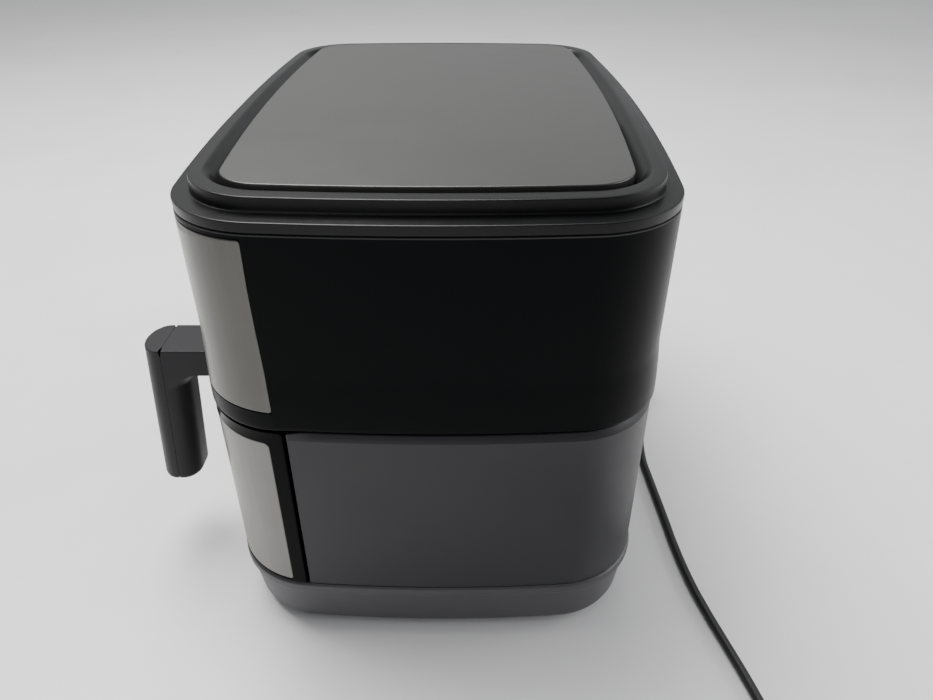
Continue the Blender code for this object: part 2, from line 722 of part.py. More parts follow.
def make_cord(sheath, plug_plastic):
    add_tube("cord", catmull(CORD_ROUTE, 14.0), CORD_RADIUS, sheath)
    add_tube("cord_tail", catmull(TAIL_ROUTE, 10.0), CORD_RADIUS, sheath)
    low, high = COIL_RADII
    profile = [
        (low, 3.0), (low, COIL_HEIGHT - 3.0), (low + 3.0, COIL_HEIGHT), (high - 3.0, COIL_HEIGHT),
        (high, COIL_HEIGHT - 3.0), (high, 3.0), (high - 3.0, 0.1), (low + 3.0, 0.1),
    ]
    add("cord_coil", lathe(COIL_CENTRE, profile, 32, closed=True), sheath)

    # Plug: tapered body towards the cord, flat face with two blades and a round pin
    levels = [(5.2, 4.2, 0.0), (8.5, 6.8, 8.0), (12.5, 7.8, 22.0), (13.5, 7.8, 38.6)]
    rings = []
    for half, high, reach in levels:
        outline = rounded_box_ring((-half, half), (-high, high), 3.5, 0.0, 0.0, 3)
        rings.append([(PLUG_X + x, PLUG_Y[0] - reach, PLUG_Z + z) for x, z, _ in outline])
    plug = add("plug", loft(rings), plug_plastic)
    pins = bmesh.new()
    for x in (-6.35, 6.35):
        box((PLUG_X + x - 0.8, PLUG_Y[1] - 16.0, PLUG_Z - 0.6), (PLUG_X + x + 0.8, PLUG_Y[1] + 3.0, PLUG_Z + 5.4), pins)
    ring = circle((PLUG_X, PLUG_Z - 4.6), 2.3, 0.0, 10)
    copy_into(loft([[(x, PLUG_Y[1] + reach, z) for x, z, _ in ring] for reach in (-18.0, 3.0)]), pins)
    boolean(plug, pins, "UNION")


def build():
    clear_scene()
    black = material("housing_black", (0.012, 0.012, 0.014), 0.3)
    grey = material("lower_grey", (0.045, 0.045, 0.048), 0.45)
    lid = material("cover_black", (0.02, 0.02, 0.022), 0.3)
    plate = material("plate_black", (0.03, 0.03, 0.032), 0.35)
    gloss = material("frame_gloss", (0.01, 0.01, 0.011), 0.12)
    steel = material("brushed_steel", (0.55, 0.54, 0.51), 0.32, 1.0)
    handle = material("handle_grey", (0.035, 0.035, 0.038), 0.45)
    coated = material("pan_coating", (0.03, 0.03, 0.032), 0.4, 0.3)
    metal = material("sheet_metal", (0.5, 0.5, 0.5), 0.4, 1.0)
    bright = material("bright_metal", (0.75, 0.75, 0.76), 0.2, 1.0)
    rubber = material("rubber", (0.015, 0.015, 0.016), 0.6)
    glass = material("control_glass", (0.005, 0.005, 0.006), 0.05)
    board = material("circuit_board", (0.02, 0.12, 0.05), 0.5)

    make_base(grey, rubber)
    make_lower_housing(grey)
    make_upper_housing(black)
    make_front_band(steel)
    make_controls(glass, board)
    make_rear_vent(black)
    make_top(lid, plate)
    make_cord_relief(rubber)
    make_chassis(black, metal, board)
    for hand, side in (("right", 1), ("left", -1)):
        make_chamber(hand, side, metal, bright, black)
        make_rotor(hand, side, metal, black)
        slide = pivot(f"drawer_{hand}_slide", (side * HANDLE_X, BODY.at(front_angle(HANDLE_X))[1], 112.0))
        lift = pivot(f"crisper_{hand}_lift", (side * ROTOR_X, ROTOR_Y, CRISPER_Z))
        make_drawer_front(hand, side, slide, gloss, steel)
        make_handle(hand, side, slide, handle, handle)
        make_pan(hand, side, slide, lift, coated)
    make_cord(rubber, rubber)


build()
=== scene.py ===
"""Looks of the two-drawer air fryer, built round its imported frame.

Shapes are worked out in millimetres in the body's own frame: +X towards the right-hand drawer, -Y
towards the front, the plan of the body centred on X = Y = 0. place() turns them into the row frame.
"""
import json
import math

import bmesh
import bpy
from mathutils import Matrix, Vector


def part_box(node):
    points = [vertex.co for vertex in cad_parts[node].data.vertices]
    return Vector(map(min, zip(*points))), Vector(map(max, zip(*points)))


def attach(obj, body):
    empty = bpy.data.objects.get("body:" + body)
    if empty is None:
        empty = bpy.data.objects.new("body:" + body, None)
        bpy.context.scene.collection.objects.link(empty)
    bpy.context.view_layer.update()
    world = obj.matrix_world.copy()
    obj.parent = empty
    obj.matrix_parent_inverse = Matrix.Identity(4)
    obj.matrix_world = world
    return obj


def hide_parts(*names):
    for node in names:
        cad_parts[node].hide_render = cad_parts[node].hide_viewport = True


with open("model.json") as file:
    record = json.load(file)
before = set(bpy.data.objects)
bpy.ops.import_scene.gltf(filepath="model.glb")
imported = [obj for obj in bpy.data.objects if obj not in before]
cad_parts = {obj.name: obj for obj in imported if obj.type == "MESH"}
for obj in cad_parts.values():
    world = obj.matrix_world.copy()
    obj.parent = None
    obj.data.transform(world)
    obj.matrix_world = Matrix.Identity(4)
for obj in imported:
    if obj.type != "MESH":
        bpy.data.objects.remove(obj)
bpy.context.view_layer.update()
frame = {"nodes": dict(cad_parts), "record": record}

MM = 0.001
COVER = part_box("top_cover")
SHIFT = (COVER[0].y + COVER[1].y) / 2 / MM
BOW_SIDE = 1062.0                # radius of the body's right and left sides
BOW_FRONT = 2005.0               # radius of its front and back
BODY_CORNER = 56.5


def edge(node, axis, end):
    """A side of a CAD node's box in the body's millimetres. end is 0 for low and 1 for high."""
    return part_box(node)[end][axis] / MM - (SHIFT if axis == 1 else 0.0)


class Plan:
    """A rounded rectangle with bowed sides, walked by its normal's angle or along its length."""

    def __init__(self, half_width, half_depth, corner):
        self.half_width = half_width
        self.half_depth = half_depth
        self.corner = corner
        self.cx = half_width - corner
        self.cy = half_depth - corner
        for _ in range(40):
            self.cx = half_width - BOW_SIDE + math.sqrt((BOW_SIDE - corner) ** 2 - self.cy ** 2)
            self.cy = half_depth - BOW_FRONT + math.sqrt((BOW_FRONT - corner) ** 2 - self.cx ** 2)
        self.side_end = math.atan2(self.cy, self.cx - half_width + BOW_SIDE)
        self.front_end = math.atan2(self.cy - half_depth + BOW_FRONT, self.cx)
        front = math.pi / 2 - self.front_end
        turn = self.front_end - self.side_end
        self.bends = [
            (BOW_FRONT, front), (corner, turn), (BOW_SIDE, 2 * self.side_end), (corner, turn),
            (BOW_FRONT, 2 * front), (corner, turn), (BOW_SIDE, 2 * self.side_end), (corner, turn),
            (BOW_FRONT, front),
        ]
        self.length = sum(radius * bend for radius, bend in self.bends)

    def at(self, angle, inset=0.0):
        """The point whose outward normal has this angle, moved in by the inset."""
        c = math.cos(angle)
        s = math.sin(angle)
        quarter = math.atan2(abs(s), abs(c))
        if quarter <= self.side_end:
            x, y, radius = self.half_width - BOW_SIDE, 0.0, BOW_SIDE
        elif quarter >= self.front_end:
            x, y, radius = 0.0, self.half_depth - BOW_FRONT, BOW_FRONT
        else:
            x, y, radius = self.cx, self.cy, self.corner
        x = math.copysign(1.0, c) * x + (radius - inset) * c
        y = math.copysign(1.0, s) * y + (radius - inset) * s
        return x, y

    def angle(self, s):
        """The normal's angle at a length s along the plan, from the middle of the front."""
        s %= self.length
        angle = -math.pi / 2
        for radius, bend in self.bends:
            if s <= radius * bend:
                return angle + s / radius
            s -= radius * bend
            angle += bend
        return angle

    def along(self, angle):
        """The length from the middle of the front to the point with this normal's angle."""
        left = (angle + math.pi / 2) % (2 * math.pi)
        s = 0.0
        for radius, bend in self.bends:
            if left <= bend:
                return s + radius * left
            left -= bend
            s += radius * bend
        return s


BODY = Plan(COVER[1].x / MM, edge("top_cover", 1, 1), BODY_CORNER)
RIM_OUTER = Plan(196.4, 134.4, 46.8)
RIM_INNER = Plan(186.3, 127.0, 41.8)
PLATE = Plan(edge("top_plate", 0, 1), edge("top_plate", 1, 1), 26.3)


def spread(low, high, count):
    return [low + (high - low) * k / count for k in range(count + 1)]


def turn_angles(plan, side, corner, front):
    quarter = spread(0.0, plan.side_end, side)
    quarter += spread(plan.side_end, plan.front_end, corner)[1:]
    quarter += spread(plan.front_end, math.pi / 2, front)[1:]
    half = quarter + [math.pi - a for a in reversed(quarter[:-1])]
    return half + [math.pi + a for a in half[1:-1]]


TURN = turn_angles(BODY, 8, 18, 12)


def side_s(y):
    """Length along the body's plan to the point of its right side or corner at this y."""
    angle = math.asin(y / BOW_SIDE)
    if abs(angle) > BODY.side_end:
        angle = math.copysign(math.asin((abs(y) - BODY.cy) / BODY.corner), y)
    return BODY.along(angle)


def front_s(x):
    """Length along the body's plan to the point of its front at this x, below zero on the left."""
    return BOW_FRONT * math.asin(x / BOW_FRONT)


def wall(s, z, depth):
    """A point on the body's wall, depth millimetres in from its surface."""
    x, y = BODY.at(BODY.angle(s), depth)
    return x, y, z


# Camera, lights and floor

def make_camera():
    data = bpy.data.cameras.new("camera")
    data.sensor_width = 36.0
    data.lens = 28.6
    camera = bpy.data.objects.new("camera", data)
    camera.location = (0.5382, 0.0231 + SHIFT * MM, 0.4501)
    camera.rotation_euler = (math.radians(90.0 - 32.88), 0.0, math.radians(90.34))
    bpy.context.scene.collection.objects.link(camera)
    bpy.context.scene.camera = camera


def area_light(name, location, target, size, power, colour=(1.0, 1.0, 1.0)):
    data = bpy.data.lights.new(name, "AREA")
    data.shape = "RECTANGLE"
    data.size = size[0]
    data.size_y = size[1]
    data.energy = power
    data.color = colour
    lamp = bpy.data.objects.new(name, data)
    lamp.location = location
    aim = Vector(target) - Vector(location)
    lamp.rotation_euler = aim.to_track_quat("-Z", "Y").to_euler()
    bpy.context.scene.collection.objects.link(lamp)


def make_stage():
    world = bpy.data.worlds.new("studio")
    world.use_nodes = True
    tree = world.node_tree
    background = tree.nodes["Background"]
    background.inputs["Strength"].default_value = 0.7
    coordinates = tree.nodes.new("ShaderNodeTexCoord")
    facing = tree.nodes.new("ShaderNodeVectorMath")
    facing.operation = "DOT_PRODUCT"
    facing.inputs[1].default_value = (-0.52, 0.42, 0.74)
    ramp = tree.nodes.new("ShaderNodeValToRGB")
    ramp.color_ramp.elements[0].position = 0.0
    ramp.color_ramp.elements[0].color = (0.42, 0.42, 0.43, 1.0)
    ramp.color_ramp.elements[1].position = 0.75
    ramp.color_ramp.elements[1].color = (0.92, 0.93, 0.94, 1.0)
    tree.links.new(coordinates.outputs["Generated"], facing.inputs[0])
    tree.links.new(facing.outputs["Value"], ramp.inputs["Fac"])
    tree.links.new(ramp.outputs["Color"], background.inputs["Color"])
    bpy.context.scene.world = world
    area_light("ceiling", (-0.5, -0.5, 1.9), (0.0, 0.0, 0.1), (1.5, 1.2), 84.0, (1.0, 0.99, 0.97))
    area_light("near_side", (1.7, -0.5, 0.35), (0.2, 0.0, 0.1), (1.4, 0.3), 3.0)
    area_light("rear_strip", (0.1, 1.7, 0.7), (0.0, 0.1, 0.2), (1.4, 0.7), 14.0)

    floor = new_object("floor", grid_mesh(40.0, 8), table_look())


def grid_mesh(half, count):
    bm = bmesh.new()
    bmesh.ops.create_grid(bm, x_segments=count, y_segments=count, size=half)
    return bm


# Materials

class Look:
    """A Principled material with helpers for the textures that drive it."""

    def __init__(self, name, colour, roughness, metallic=0.0, specular=0.5):
        self.mat = bpy.data.materials.new(name)
        self.mat.use_nodes = True
        self.tree = self.mat.node_tree
        self.shader = self.tree.nodes["Principled BSDF"]
        self.colour = colour
        self.shader.inputs["Base Color"].default_value = (*colour, 1.0)
        self.shader.inputs["Roughness"].default_value = roughness
        self.shader.inputs["Metallic"].default_value = metallic
        self.shader.inputs["Specular IOR Level"].default_value = specular
        self.mat.diffuse_color = (*colour, 1.0)

    def node(self, kind, **values):
        made = self.tree.nodes.new(kind)
        for name, value in values.items():
            if name in made.inputs:
                made.inputs[name].default_value = value
            else:
                setattr(made, name, value)
        return made

    def link(self, source, target):
        self.tree.links.new(source, target)

    def place(self, scale):
        """Object coordinates stretched by a scale for each axis."""
        coordinates = self.node("ShaderNodeTexCoord")
        mapping = self.node("ShaderNodeMapping")
        mapping.inputs["Scale"].default_value = scale
        self.link(coordinates.outputs["Object"], mapping.inputs["Vector"])
        return mapping.outputs["Vector"]

    def noise(self, scale, detail=4.0, roughness=0.5, stretch=(1.0, 1.0, 1.0)):
        made = self.node("ShaderNodeTexNoise", Scale=scale, Detail=detail, Roughness=roughness)
        self.link(self.place(stretch), made.inputs["Vector"])
        return made.outputs["Fac"]

    def dots(self, scale, size):
        """Sparse specks: 1 inside a few cells' centres and 0 elsewhere."""
        cells = self.node("ShaderNodeTexVoronoi", Scale=scale)
        self.link(self.place((1.0, 1.0, 1.0)), cells.inputs["Vector"])
        return self.range(cells.outputs["Distance"], size, size * 0.6, 0.0, 1.0)

    def range(self, source, low, high, to_low, to_high):
        made = self.node("ShaderNodeMapRange")
        made.inputs["From Min"].default_value = low
        made.inputs["From Max"].default_value = high
        made.inputs["To Min"].default_value = to_low
        made.inputs["To Max"].default_value = to_high
        self.link(source, made.inputs["Value"])
        return made.outputs["Result"]

    def maths(self, operation, first, second):
        made = self.node("ShaderNodeMath", operation=operation)
        for slot, value in zip(made.inputs, (first, second)):
            if isinstance(value, float):
                slot.default_value = value
            else:
                self.link(value, slot)
        return made.outputs["Value"]

    def tint(self, factor, colour_a, colour_b):
        """Base colour mixed from two colours by a factor."""
        mix = self.node("ShaderNodeMix", data_type="RGBA")
        mix.inputs["A"].default_value = (*colour_a, 1.0)
        mix.inputs["B"].default_value = (*colour_b, 1.0)
        for slot in mix.inputs:
            if slot.name == "A" and slot.type == "RGBA":
                slot.default_value = (*colour_a, 1.0)
            if slot.name == "B" and slot.type == "RGBA":
                slot.default_value = (*colour_b, 1.0)
        self.link(factor, mix.inputs["Factor"])
        result = [slot for slot in mix.outputs if slot.type == "RGBA"][0]
        self.link(result, self.shader.inputs["Base Color"])

    def rough(self, source):
        self.link(source, self.shader.inputs["Roughness"])

    def bump(self, height, strength, distance):
        made = self.node("ShaderNodeBump", Strength=strength, Distance=distance)
        self.link(height, made.inputs["Height"])
        self.link(made.outputs["Normal"], self.shader.inputs["Normal"])


def shade(colour, factor):
    return tuple(c * factor for c in colour)


def moulded(name, colour, roughness, specular=0.5, grain=0.25, spread_=0.06, dust=0.35, lip=None):
    """Moulded plastic: spark-eroded grain, smudges and dust. Above height lip it is painted pale: a painted
    highlight along a top edge.
    """
    look = Look(name, colour, roughness, specular=specular)
    smudge = look.noise(14.0, 5.0, 0.6)
    fine = look.noise(1900.0, 2.0, 0.5)
    specks = look.dots(260.0, 0.035)
    patches = look.range(look.noise(5.0, 3.0, 0.5), 0.5, 0.7, 0.0, dust)
    amount = look.maths("MULTIPLY", specks, patches)
    if lip:
        # Painted highlight: above height lip the colour is mixed towards pale grey.
        split = look.node("ShaderNodeSeparateXYZ")
        look.link(look.place((1.0, 1.0, 1.0)), split.inputs["Vector"])
        painted_edge_highlight = look.range(split.outputs["Z"], lip, lip + 0.0002, 0.0, 0.3)
        amount = look.maths("MAXIMUM", amount, painted_edge_highlight)
    look.tint(amount, colour, (0.25, 0.25, 0.25))
    look.rough(look.maths(
        "ADD",
        look.range(smudge, 0.3, 0.7, roughness - spread_, roughness + spread_),
        look.range(fine, 0.3, 0.7, -0.03, 0.03)))
    look.bump(fine, grain, 0.00012)
    return look.mat


def brushed(name, colour, roughness):
    """Stainless steel with fine upright brushing and broad soft streaks."""
    look = Look(name, colour, roughness, metallic=1.0)
    lines = look.noise(900.0, 3.0, 0.65, (1.0, 1.0, 0.012))
    streaks = look.noise(19.0, 3.0, 0.6, (1.0, 1.0, 0.07))
    cloud = look.noise(16.0, 4.0, 0.55)
    look.tint(look.range(streaks, 0.3, 0.7, 0.0, 1.0), shade(colour, 0.86), shade(colour, 1.06))
    look.rough(look.maths(
        "ADD",
        look.range(lines, 0.3, 0.7, roughness - 0.05, roughness + 0.05),
        look.range(cloud, 0.3, 0.7, -0.03, 0.03)))
    look.shader.inputs["Anisotropic"].default_value = 0.55
    look.shader.inputs["Anisotropic Rotation"].default_value = 0.25
    tangent = look.node("ShaderNodeTangent", direction_type="RADIAL", axis="Z")
    look.link(tangent.outputs["Tangent"], look.shader.inputs["Tangent"])
    look.bump(lines, 0.12, 0.00006)
    return look.mat


def metal(name, colour, roughness, grain=0.1):
    look = Look(name, colour, roughness, metallic=1.0)
    cloud = look.noise(45.0, 4.0, 0.6)
    look.tint(look.range(cloud, 0.3, 0.7, 0.0, 1.0), shade(colour, 0.88), colour)
    look.rough(look.range(look.noise(260.0, 3.0, 0.6), 0.3, 0.7, roughness - 0.06, roughness + 0.06))
    look.bump(look.noise(700.0, 2.0, 0.5), grain, 0.0001)
    return look.mat


def gloss(name, colour, roughness, specular, coat):
    look = Look(name, colour, roughness, specular=specular)
    look.rough(look.range(look.noise(30.0, 5.0, 0.6), 0.35, 0.7, roughness, roughness + 0.05))
    look.tint(look.dots(330.0, 0.03), colour, (0.12, 0.12, 0.12))
    look.bump(look.noise(120.0, 2.0, 0.5), 0.03, 0.0002)
    look.shader.inputs["Coat Weight"].default_value = coat
    look.shader.inputs["Coat Roughness"].default_value = 0.04
    return look.mat


def coated(name, colour, roughness):
    """Non-stick coating: a fine pebble with tiny bright flecks."""
    look = Look(name, colour, roughness, specular=0.6)
    flecks = look.dots(900.0, 0.12)
    look.tint(flecks, colour, (0.09, 0.09, 0.09))
    look.rough(look.range(look.noise(70.0, 4.0, 0.6), 0.3, 0.7, roughness - 0.07, roughness + 0.07))
    look.bump(look.noise(1100.0, 2.0, 0.5), 0.3, 0.00015)
    return look.mat


def board_look(name, colour):
    """Printed board: solder mask with faint tracks."""
    look = Look(name, colour, 0.4)
    tracks = look.node("ShaderNodeTexBrick", Scale=90.0)
    look.link(look.place((1.0, 1.0, 1.0)), tracks.inputs["Vector"])
    look.tint(tracks.outputs["Fac"], colour, shade(colour, 1.8))
    look.bump(tracks.outputs["Fac"], 0.2, 0.0001)
    return look.mat


def table_look():
    """Pale laminate with faint specks and soft marks."""
    base = (0.80, 0.80, 0.81)
    look = Look("table", base, 0.42)
    marks = look.noise(3.0, 6.0, 0.65)
    specks = look.dots(34.0, 0.018)
    amount = look.maths("ADD", look.range(marks, 0.45, 0.75, 0.0, 0.22), look.maths("MULTIPLY", specks, 0.5))
    look.tint(amount, base, (0.52, 0.52, 0.54))
    look.rough(look.range(look.noise(9.0, 5.0, 0.6), 0.3, 0.7, 0.36, 0.5))
    look.bump(look.noise(60.0, 4.0, 0.5), 0.05, 0.0004)
    return look.mat


# Objects

def new_object(name, bm, material, bevel=0.0):
    bmesh.ops.recalc_face_normals(bm, faces=bm.faces)
    mesh = bpy.data.meshes.new(name)
    bm.to_mesh(mesh)
    bm.free()
    mesh.materials.append(material)
    obj = bpy.data.objects.new(name, mesh)
    bpy.context.scene.collection.objects.link(obj)
    mesh.shade_smooth()
    mesh.set_sharp_from_angle(angle=math.radians(38))
    if bevel:
        modifier = obj.modifiers.new("edges", "BEVEL")
        modifier.width = bevel * MM
        modifier.segments = 3
        modifier.limit_method = "ANGLE"
        modifier.angle_limit = math.radians(32)
        modifier.harden_normals = True
    weighted = obj.modifiers.new("flat faces", "WEIGHTED_NORMAL")
    weighted.keep_sharp = True
    return obj


def piece(name, bm, slot, body="body", stands_for=(), side=1, bevel=0.0, look=None):
    """Adds a visible piece made in millimetres. side -1 mirrors it to the left-hand drawer."""
    for vert in bm.verts:
        vert.co = Vector((vert.co.x * side, vert.co.y + SHIFT, vert.co.z)) * MM
    obj = new_object(name, bm, LOOKS[look or slot], bevel)
    settle(obj, body, stands_for)
    return obj


def settle(obj, body, stands_for):
    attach(obj, body)
    if stands_for:
        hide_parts(*stands_for)


def place(point):
    return Vector((point[0], point[1] + SHIFT, point[2])) * MM


# Shape builders, in millimetres

def skin(bm, rows, closed):
    """Faces between rings of vertices, one ring after another."""
    pairs = list(zip(rows, rows[1:]))
    if closed:
        pairs.append((rows[-1], rows[0]))
    for low, high in pairs:
        for k, vert in enumerate(low):
            after = (k + 1) % len(low)
            bm.faces.new((vert, low[after], high[after], high[k]))


def loft(rings, closed=False, caps=True):
    bm = bmesh.new()
    rows = [[bm.verts.new(point) for point in ring] for ring in rings]
    skin(bm, rows, closed)
    if caps and not closed:
        bm.faces.new(list(reversed(rows[0])))
        bm.faces.new(rows[-1])
    return bm


def sheet(us, vs, front, back, is_open=None, wrap=False):
    """A closed plate on a grid. front and back give its two faces, is_open its missing cells."""
    bm = bmesh.new()
    made = {}
    columns = len(us) if wrap else len(us) - 1
    rows = len(vs) - 1

    def solid(i, j):
        if wrap:
            i %= columns
        inside = 0 <= i < columns and 0 <= j < rows
        return inside and not (is_open and is_open(i, j))

    def vert(face, i, j):
        i %= len(us)
        if (face, i, j) not in made:
            made[face, i, j] = bm.verts.new(face(us[i], vs[j]))
        return made[face, i, j]

    for i in range(columns):
        for j in range(rows):
            if not solid(i, j):
                continue
            corners = [(i, j), (i + 1, j), (i + 1, j + 1), (i, j + 1)]
            beside = [(i, j - 1), (i + 1, j), (i, j + 1), (i - 1, j)]
            bm.faces.new([vert(front, *c) for c in corners])
            bm.faces.new([vert(back, *c) for c in reversed(corners)])
            for k, cell in enumerate(beside):
                if not solid(*cell):
                    a = corners[k]
                    b = corners[(k + 1) % 4]
                    bm.faces.new((vert(front, *b), vert(front, *a), vert(back, *a), vert(back, *b)))
    return bm


class Patch:
    """A rectangle with round corners in (s, z), laid out as matching columns and rows."""

    def __init__(self, s, z, radii, columns, rows=(0.0, 0.25, 0.5, 0.75, 1.0), steps=5):
        self.s = s
        self.z = z
        self.radii = radii           # bottom left, bottom right, top right, top left
        self.columns = columns
        self.rows = rows
        self.steps = steps

    def inset(self, amount):
        s = (self.s[0] + amount, self.s[1] - amount)
        z = (self.z[0] + amount, self.z[1] - amount)
        radii = [max(r - amount, 0.05) for r in self.radii]
        return Patch(s, z, radii, self.columns, self.rows, self.steps)

    def line(self, z, up, left, right):
        """The bottom or top line from left to right, with its two corner arcs."""
        arcs = spread(0.0, math.pi / 2, self.steps)
        start = [(self.s[0] + left * (1 - math.cos(a)), z + up * left * (1 - math.sin(a))) for a in arcs]
        stop = [(self.s[1] - right * (1 - math.cos(a)), z + up * right * (1 - math.sin(a))) for a in arcs]
        middle = [(s, z) for s in spread(start[-1][0], stop[-1][0], self.columns)[1:-1]]
        return start + middle + stop[::-1]

    def grid(self):
        bottom = self.line(self.z[0], 1, self.radii[0], self.radii[1])
        top = self.line(self.z[1], -1, self.radii[3], self.radii[2])
        return [[(a[0] + (b[0] - a[0]) * t, a[1] + (b[1] - a[1]) * t) for t in self.rows]
                for a, b in zip(bottom, top)]

    def border(self):
        grid = self.grid()
        loop = [column[0] for column in grid]
        loop += grid[-1][1:]
        loop += [column[-1] for column in reversed(grid[:-1])]
        return loop + grid[0][-2:0:-1]


def add_grid(bm, points):
    """A grid of faces on columns of points. Returns its border, in Patch.border's order."""
    verts = [[bm.verts.new(p) for p in column] for column in points]
    for a, b in zip(verts, verts[1:]):
        for j in range(len(a) - 1):
            bm.faces.new((a[j], b[j], b[j + 1], a[j + 1]))
    loop = [column[0] for column in verts]
    loop += verts[-1][1:]
    loop += [column[-1] for column in reversed(verts[:-1])]
    return loop + verts[0][-2:0:-1]


def plate(stages, surface):
    """A solid from its back, through bordered stages of (patch, depth), to its front face."""
    bm = bmesh.new()
    rows = []
    for k, (patch, depth) in enumerate(stages):
        if k in (0, len(stages) - 1):
            points = [[surface(s, z, depth) for s, z in column] for column in patch.grid()]
            rows.append(add_grid(bm, points))
        else:
            rows.append([bm.verts.new(surface(s, z, depth)) for s, z in patch.border()])
    skin(bm, rows, False)
    return bm


def border_points(patch, depth):
    return [(s, z, depth) for s, z in patch.border()]


def between(first, last, count):
    """Loops spaced evenly between two matching loops, both left out."""
    loops = []
    for t in spread(0.0, 1.0, count)[1:-1]:
        loops.append([tuple(p + (q - p) * t for p, q in zip(a, b)) for a, b in zip(first, last)])
    return loops


def rounded_edge(patch, depth, radius, steps=3):
    """Stages round an outer edge, from the plate's side to its face."""
    turns = spread(0.0, math.pi / 2, steps)
    return [(patch.inset(radius * (1 - math.cos(t))), depth + radius * (1 - math.sin(t))) for t in turns]


def circle(centre, radius, z, steps):
    angles = spread(0.0, 2 * math.pi, steps)[:-1]
    return [(centre[0] + radius * math.cos(a), centre[1] + radius * math.sin(a), z) for a in angles]


def lathe(centre, profile, steps=48, closed=False):
    return loft([circle(centre, radius, z, steps) for radius, z in profile], closed)


def box(low, high, bm=None):
    bm = bm or bmesh.new()
    corners = [(x, y, z) for x in (low[0], high[0]) for y in (low[1], high[1]) for z in (low[2], high[2])]
    v = [bm.verts.new(c) for c in corners]
    for face in ((0, 1, 3, 2), (4, 6, 7, 5), (0, 4, 5, 1), (2, 3, 7, 6), (0, 2, 6, 4), (1, 5, 7, 3)):
        bm.faces.new([v[k] for k in face])
    return bm


def copy_into(source, target):
    twins = {vert: target.verts.new(vert.co) for vert in source.verts}
    for face in source.faces:
        target.faces.new([twins[vert] for vert in face.verts])
    source.free()


def round_box_ring(xs, ys, radius, inset, z, steps=8):
    """A rectangle's outline with round corners, moved in by the inset."""
    r = radius - inset
    ring = []
    for sx, sy, start in ((1, 1, 0.0), (-1, 1, 0.5), (-1, -1, 1.0), (1, -1, 1.5)):
        cx = (xs[1] - radius) if sx > 0 else (xs[0] + radius)
        cy = (ys[1] - radius) if sy > 0 else (ys[0] + radius)
        for a in spread(start * math.pi, (start + 0.5) * math.pi, steps):
            ring.append((cx + r * math.cos(a), cy + r * math.sin(a), z))
    return ring


def plan_rings(levels):
    return [[(*plan.at(a, inset), z) for a in TURN] for plan, inset, z in levels]


def smooth_curve(route, spacing):
    """Points about one spacing apart on a smooth curve through the route's own points."""
    points = [Vector(p) for p in route]
    ends = [2 * points[0] - points[1], *points, 2 * points[-1] - points[-2]]
    curve = [points[0]]
    for a, b, c, d in zip(ends, ends[1:], ends[2:], ends[3:]):
        count = max(1, round((c - b).length / spacing))
        for t in spread(0.0, 1.0, count)[1:]:
            curve.append(0.5 * (2 * b + (c - a) * t + (2 * a - 5 * b + 4 * c - d) * t ** 2
                                + (3 * b - 3 * c + d - a) * t ** 3))
    return curve


def ease(t):
    t = min(max(t, 0.0), 1.0)
    return t * t * (3 - 2 * t)


# Cord

CORD_RADIUS = 3.25
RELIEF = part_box("cord_relief")
RELIEF_X = (RELIEF[0].x + RELIEF[1].x) / 2 / MM
RELIEF_Z = (RELIEF[0].z + RELIEF[1].z) / 2 / MM
RELIEF_Y = (edge("cord_relief", 1, 0), edge("cord_relief", 1, 1))
CORD_ROUTE = [
    (-110.0, 174.5, 62.0), (-109.0, 183.0, 61.1), (-106.1, 190.7, 58.5), (-101.6, 196.7, 54.4),
    (-95.9, 200.7, 49.2), (-89.6, 202.0, 43.6), (-78.5, 201.5, 31.8), (-67.0, 199.0, 20.5),
    (-52.0, 196.0, 11.5), (-36.0, 191.8, 5.8), (-18.0, 186.8, 3.8), (5.0, 181.5, 3.4), (30.0, 179.2, 3.4),
    (53.5, 180.2, 3.4), (95.5, 182.6, 3.4), (133.0, 184.6, 3.4), (165.5, 188.2, 3.4),
    (192.0, 193.2, 3.4), (217.5, 199.3, 3.4), (240.5, 204.8, 3.4), (260.0, 208.9, 3.4),
    (279.0, 212.2, 3.4), (296.0, 214.45, 3.4),
]
COIL_CENTRE = (317.0, 172.0)
COIL_OUTER = 39.95                # middle of the cord in the lower layer's outer turn
COIL_INNER = 33.2
COIL_UPPER = 36.6
TIE_ANGLE = 62.0
LIFT = 6.5                       # how far the last turn rides up over the others
LEAVING = [(357.7, 165.0, 9.9), (357.7, 155.0, 8.8)]
TAIL_ROUTE = [
    (357.4, 146.0, 6.6), (357.5, 139.0, 5.6), (357.4, 131.0, 5.6), (357.2, 123.0, 6.6),
    (357.0, 117.0, 7.6), (356.9, 114.0, 8.0),
]
PLUG_X = 356.9
PLUG_Z = 8.0
PLUG_BACK = 113.6
PLUG_FACE = 75.0


def coil_points():
    """Two turns on the table, then a part turn that climbs on them and leaves over the outer."""
    points = []
    for swept in range(12, 822, 18):
        radius = COIL_OUTER - (COIL_OUTER - COIL_INNER) * ease((swept - 250) / 106)
        radius += (COIL_UPPER - COIL_INNER) * ease((swept - 600) / 60)
        radius += (COIL_OUTER - COIL_UPPER) * ease((swept - 684) / 120)
        z = CORD_ROUTE[-1][2] + LIFT * ease((swept - 585) / 60)
        a = math.radians(90.0 - swept)
        points.append((COIL_CENTRE[0] + radius * math.cos(a), COIL_CENTRE[1] + radius * math.sin(a), z))
    return points


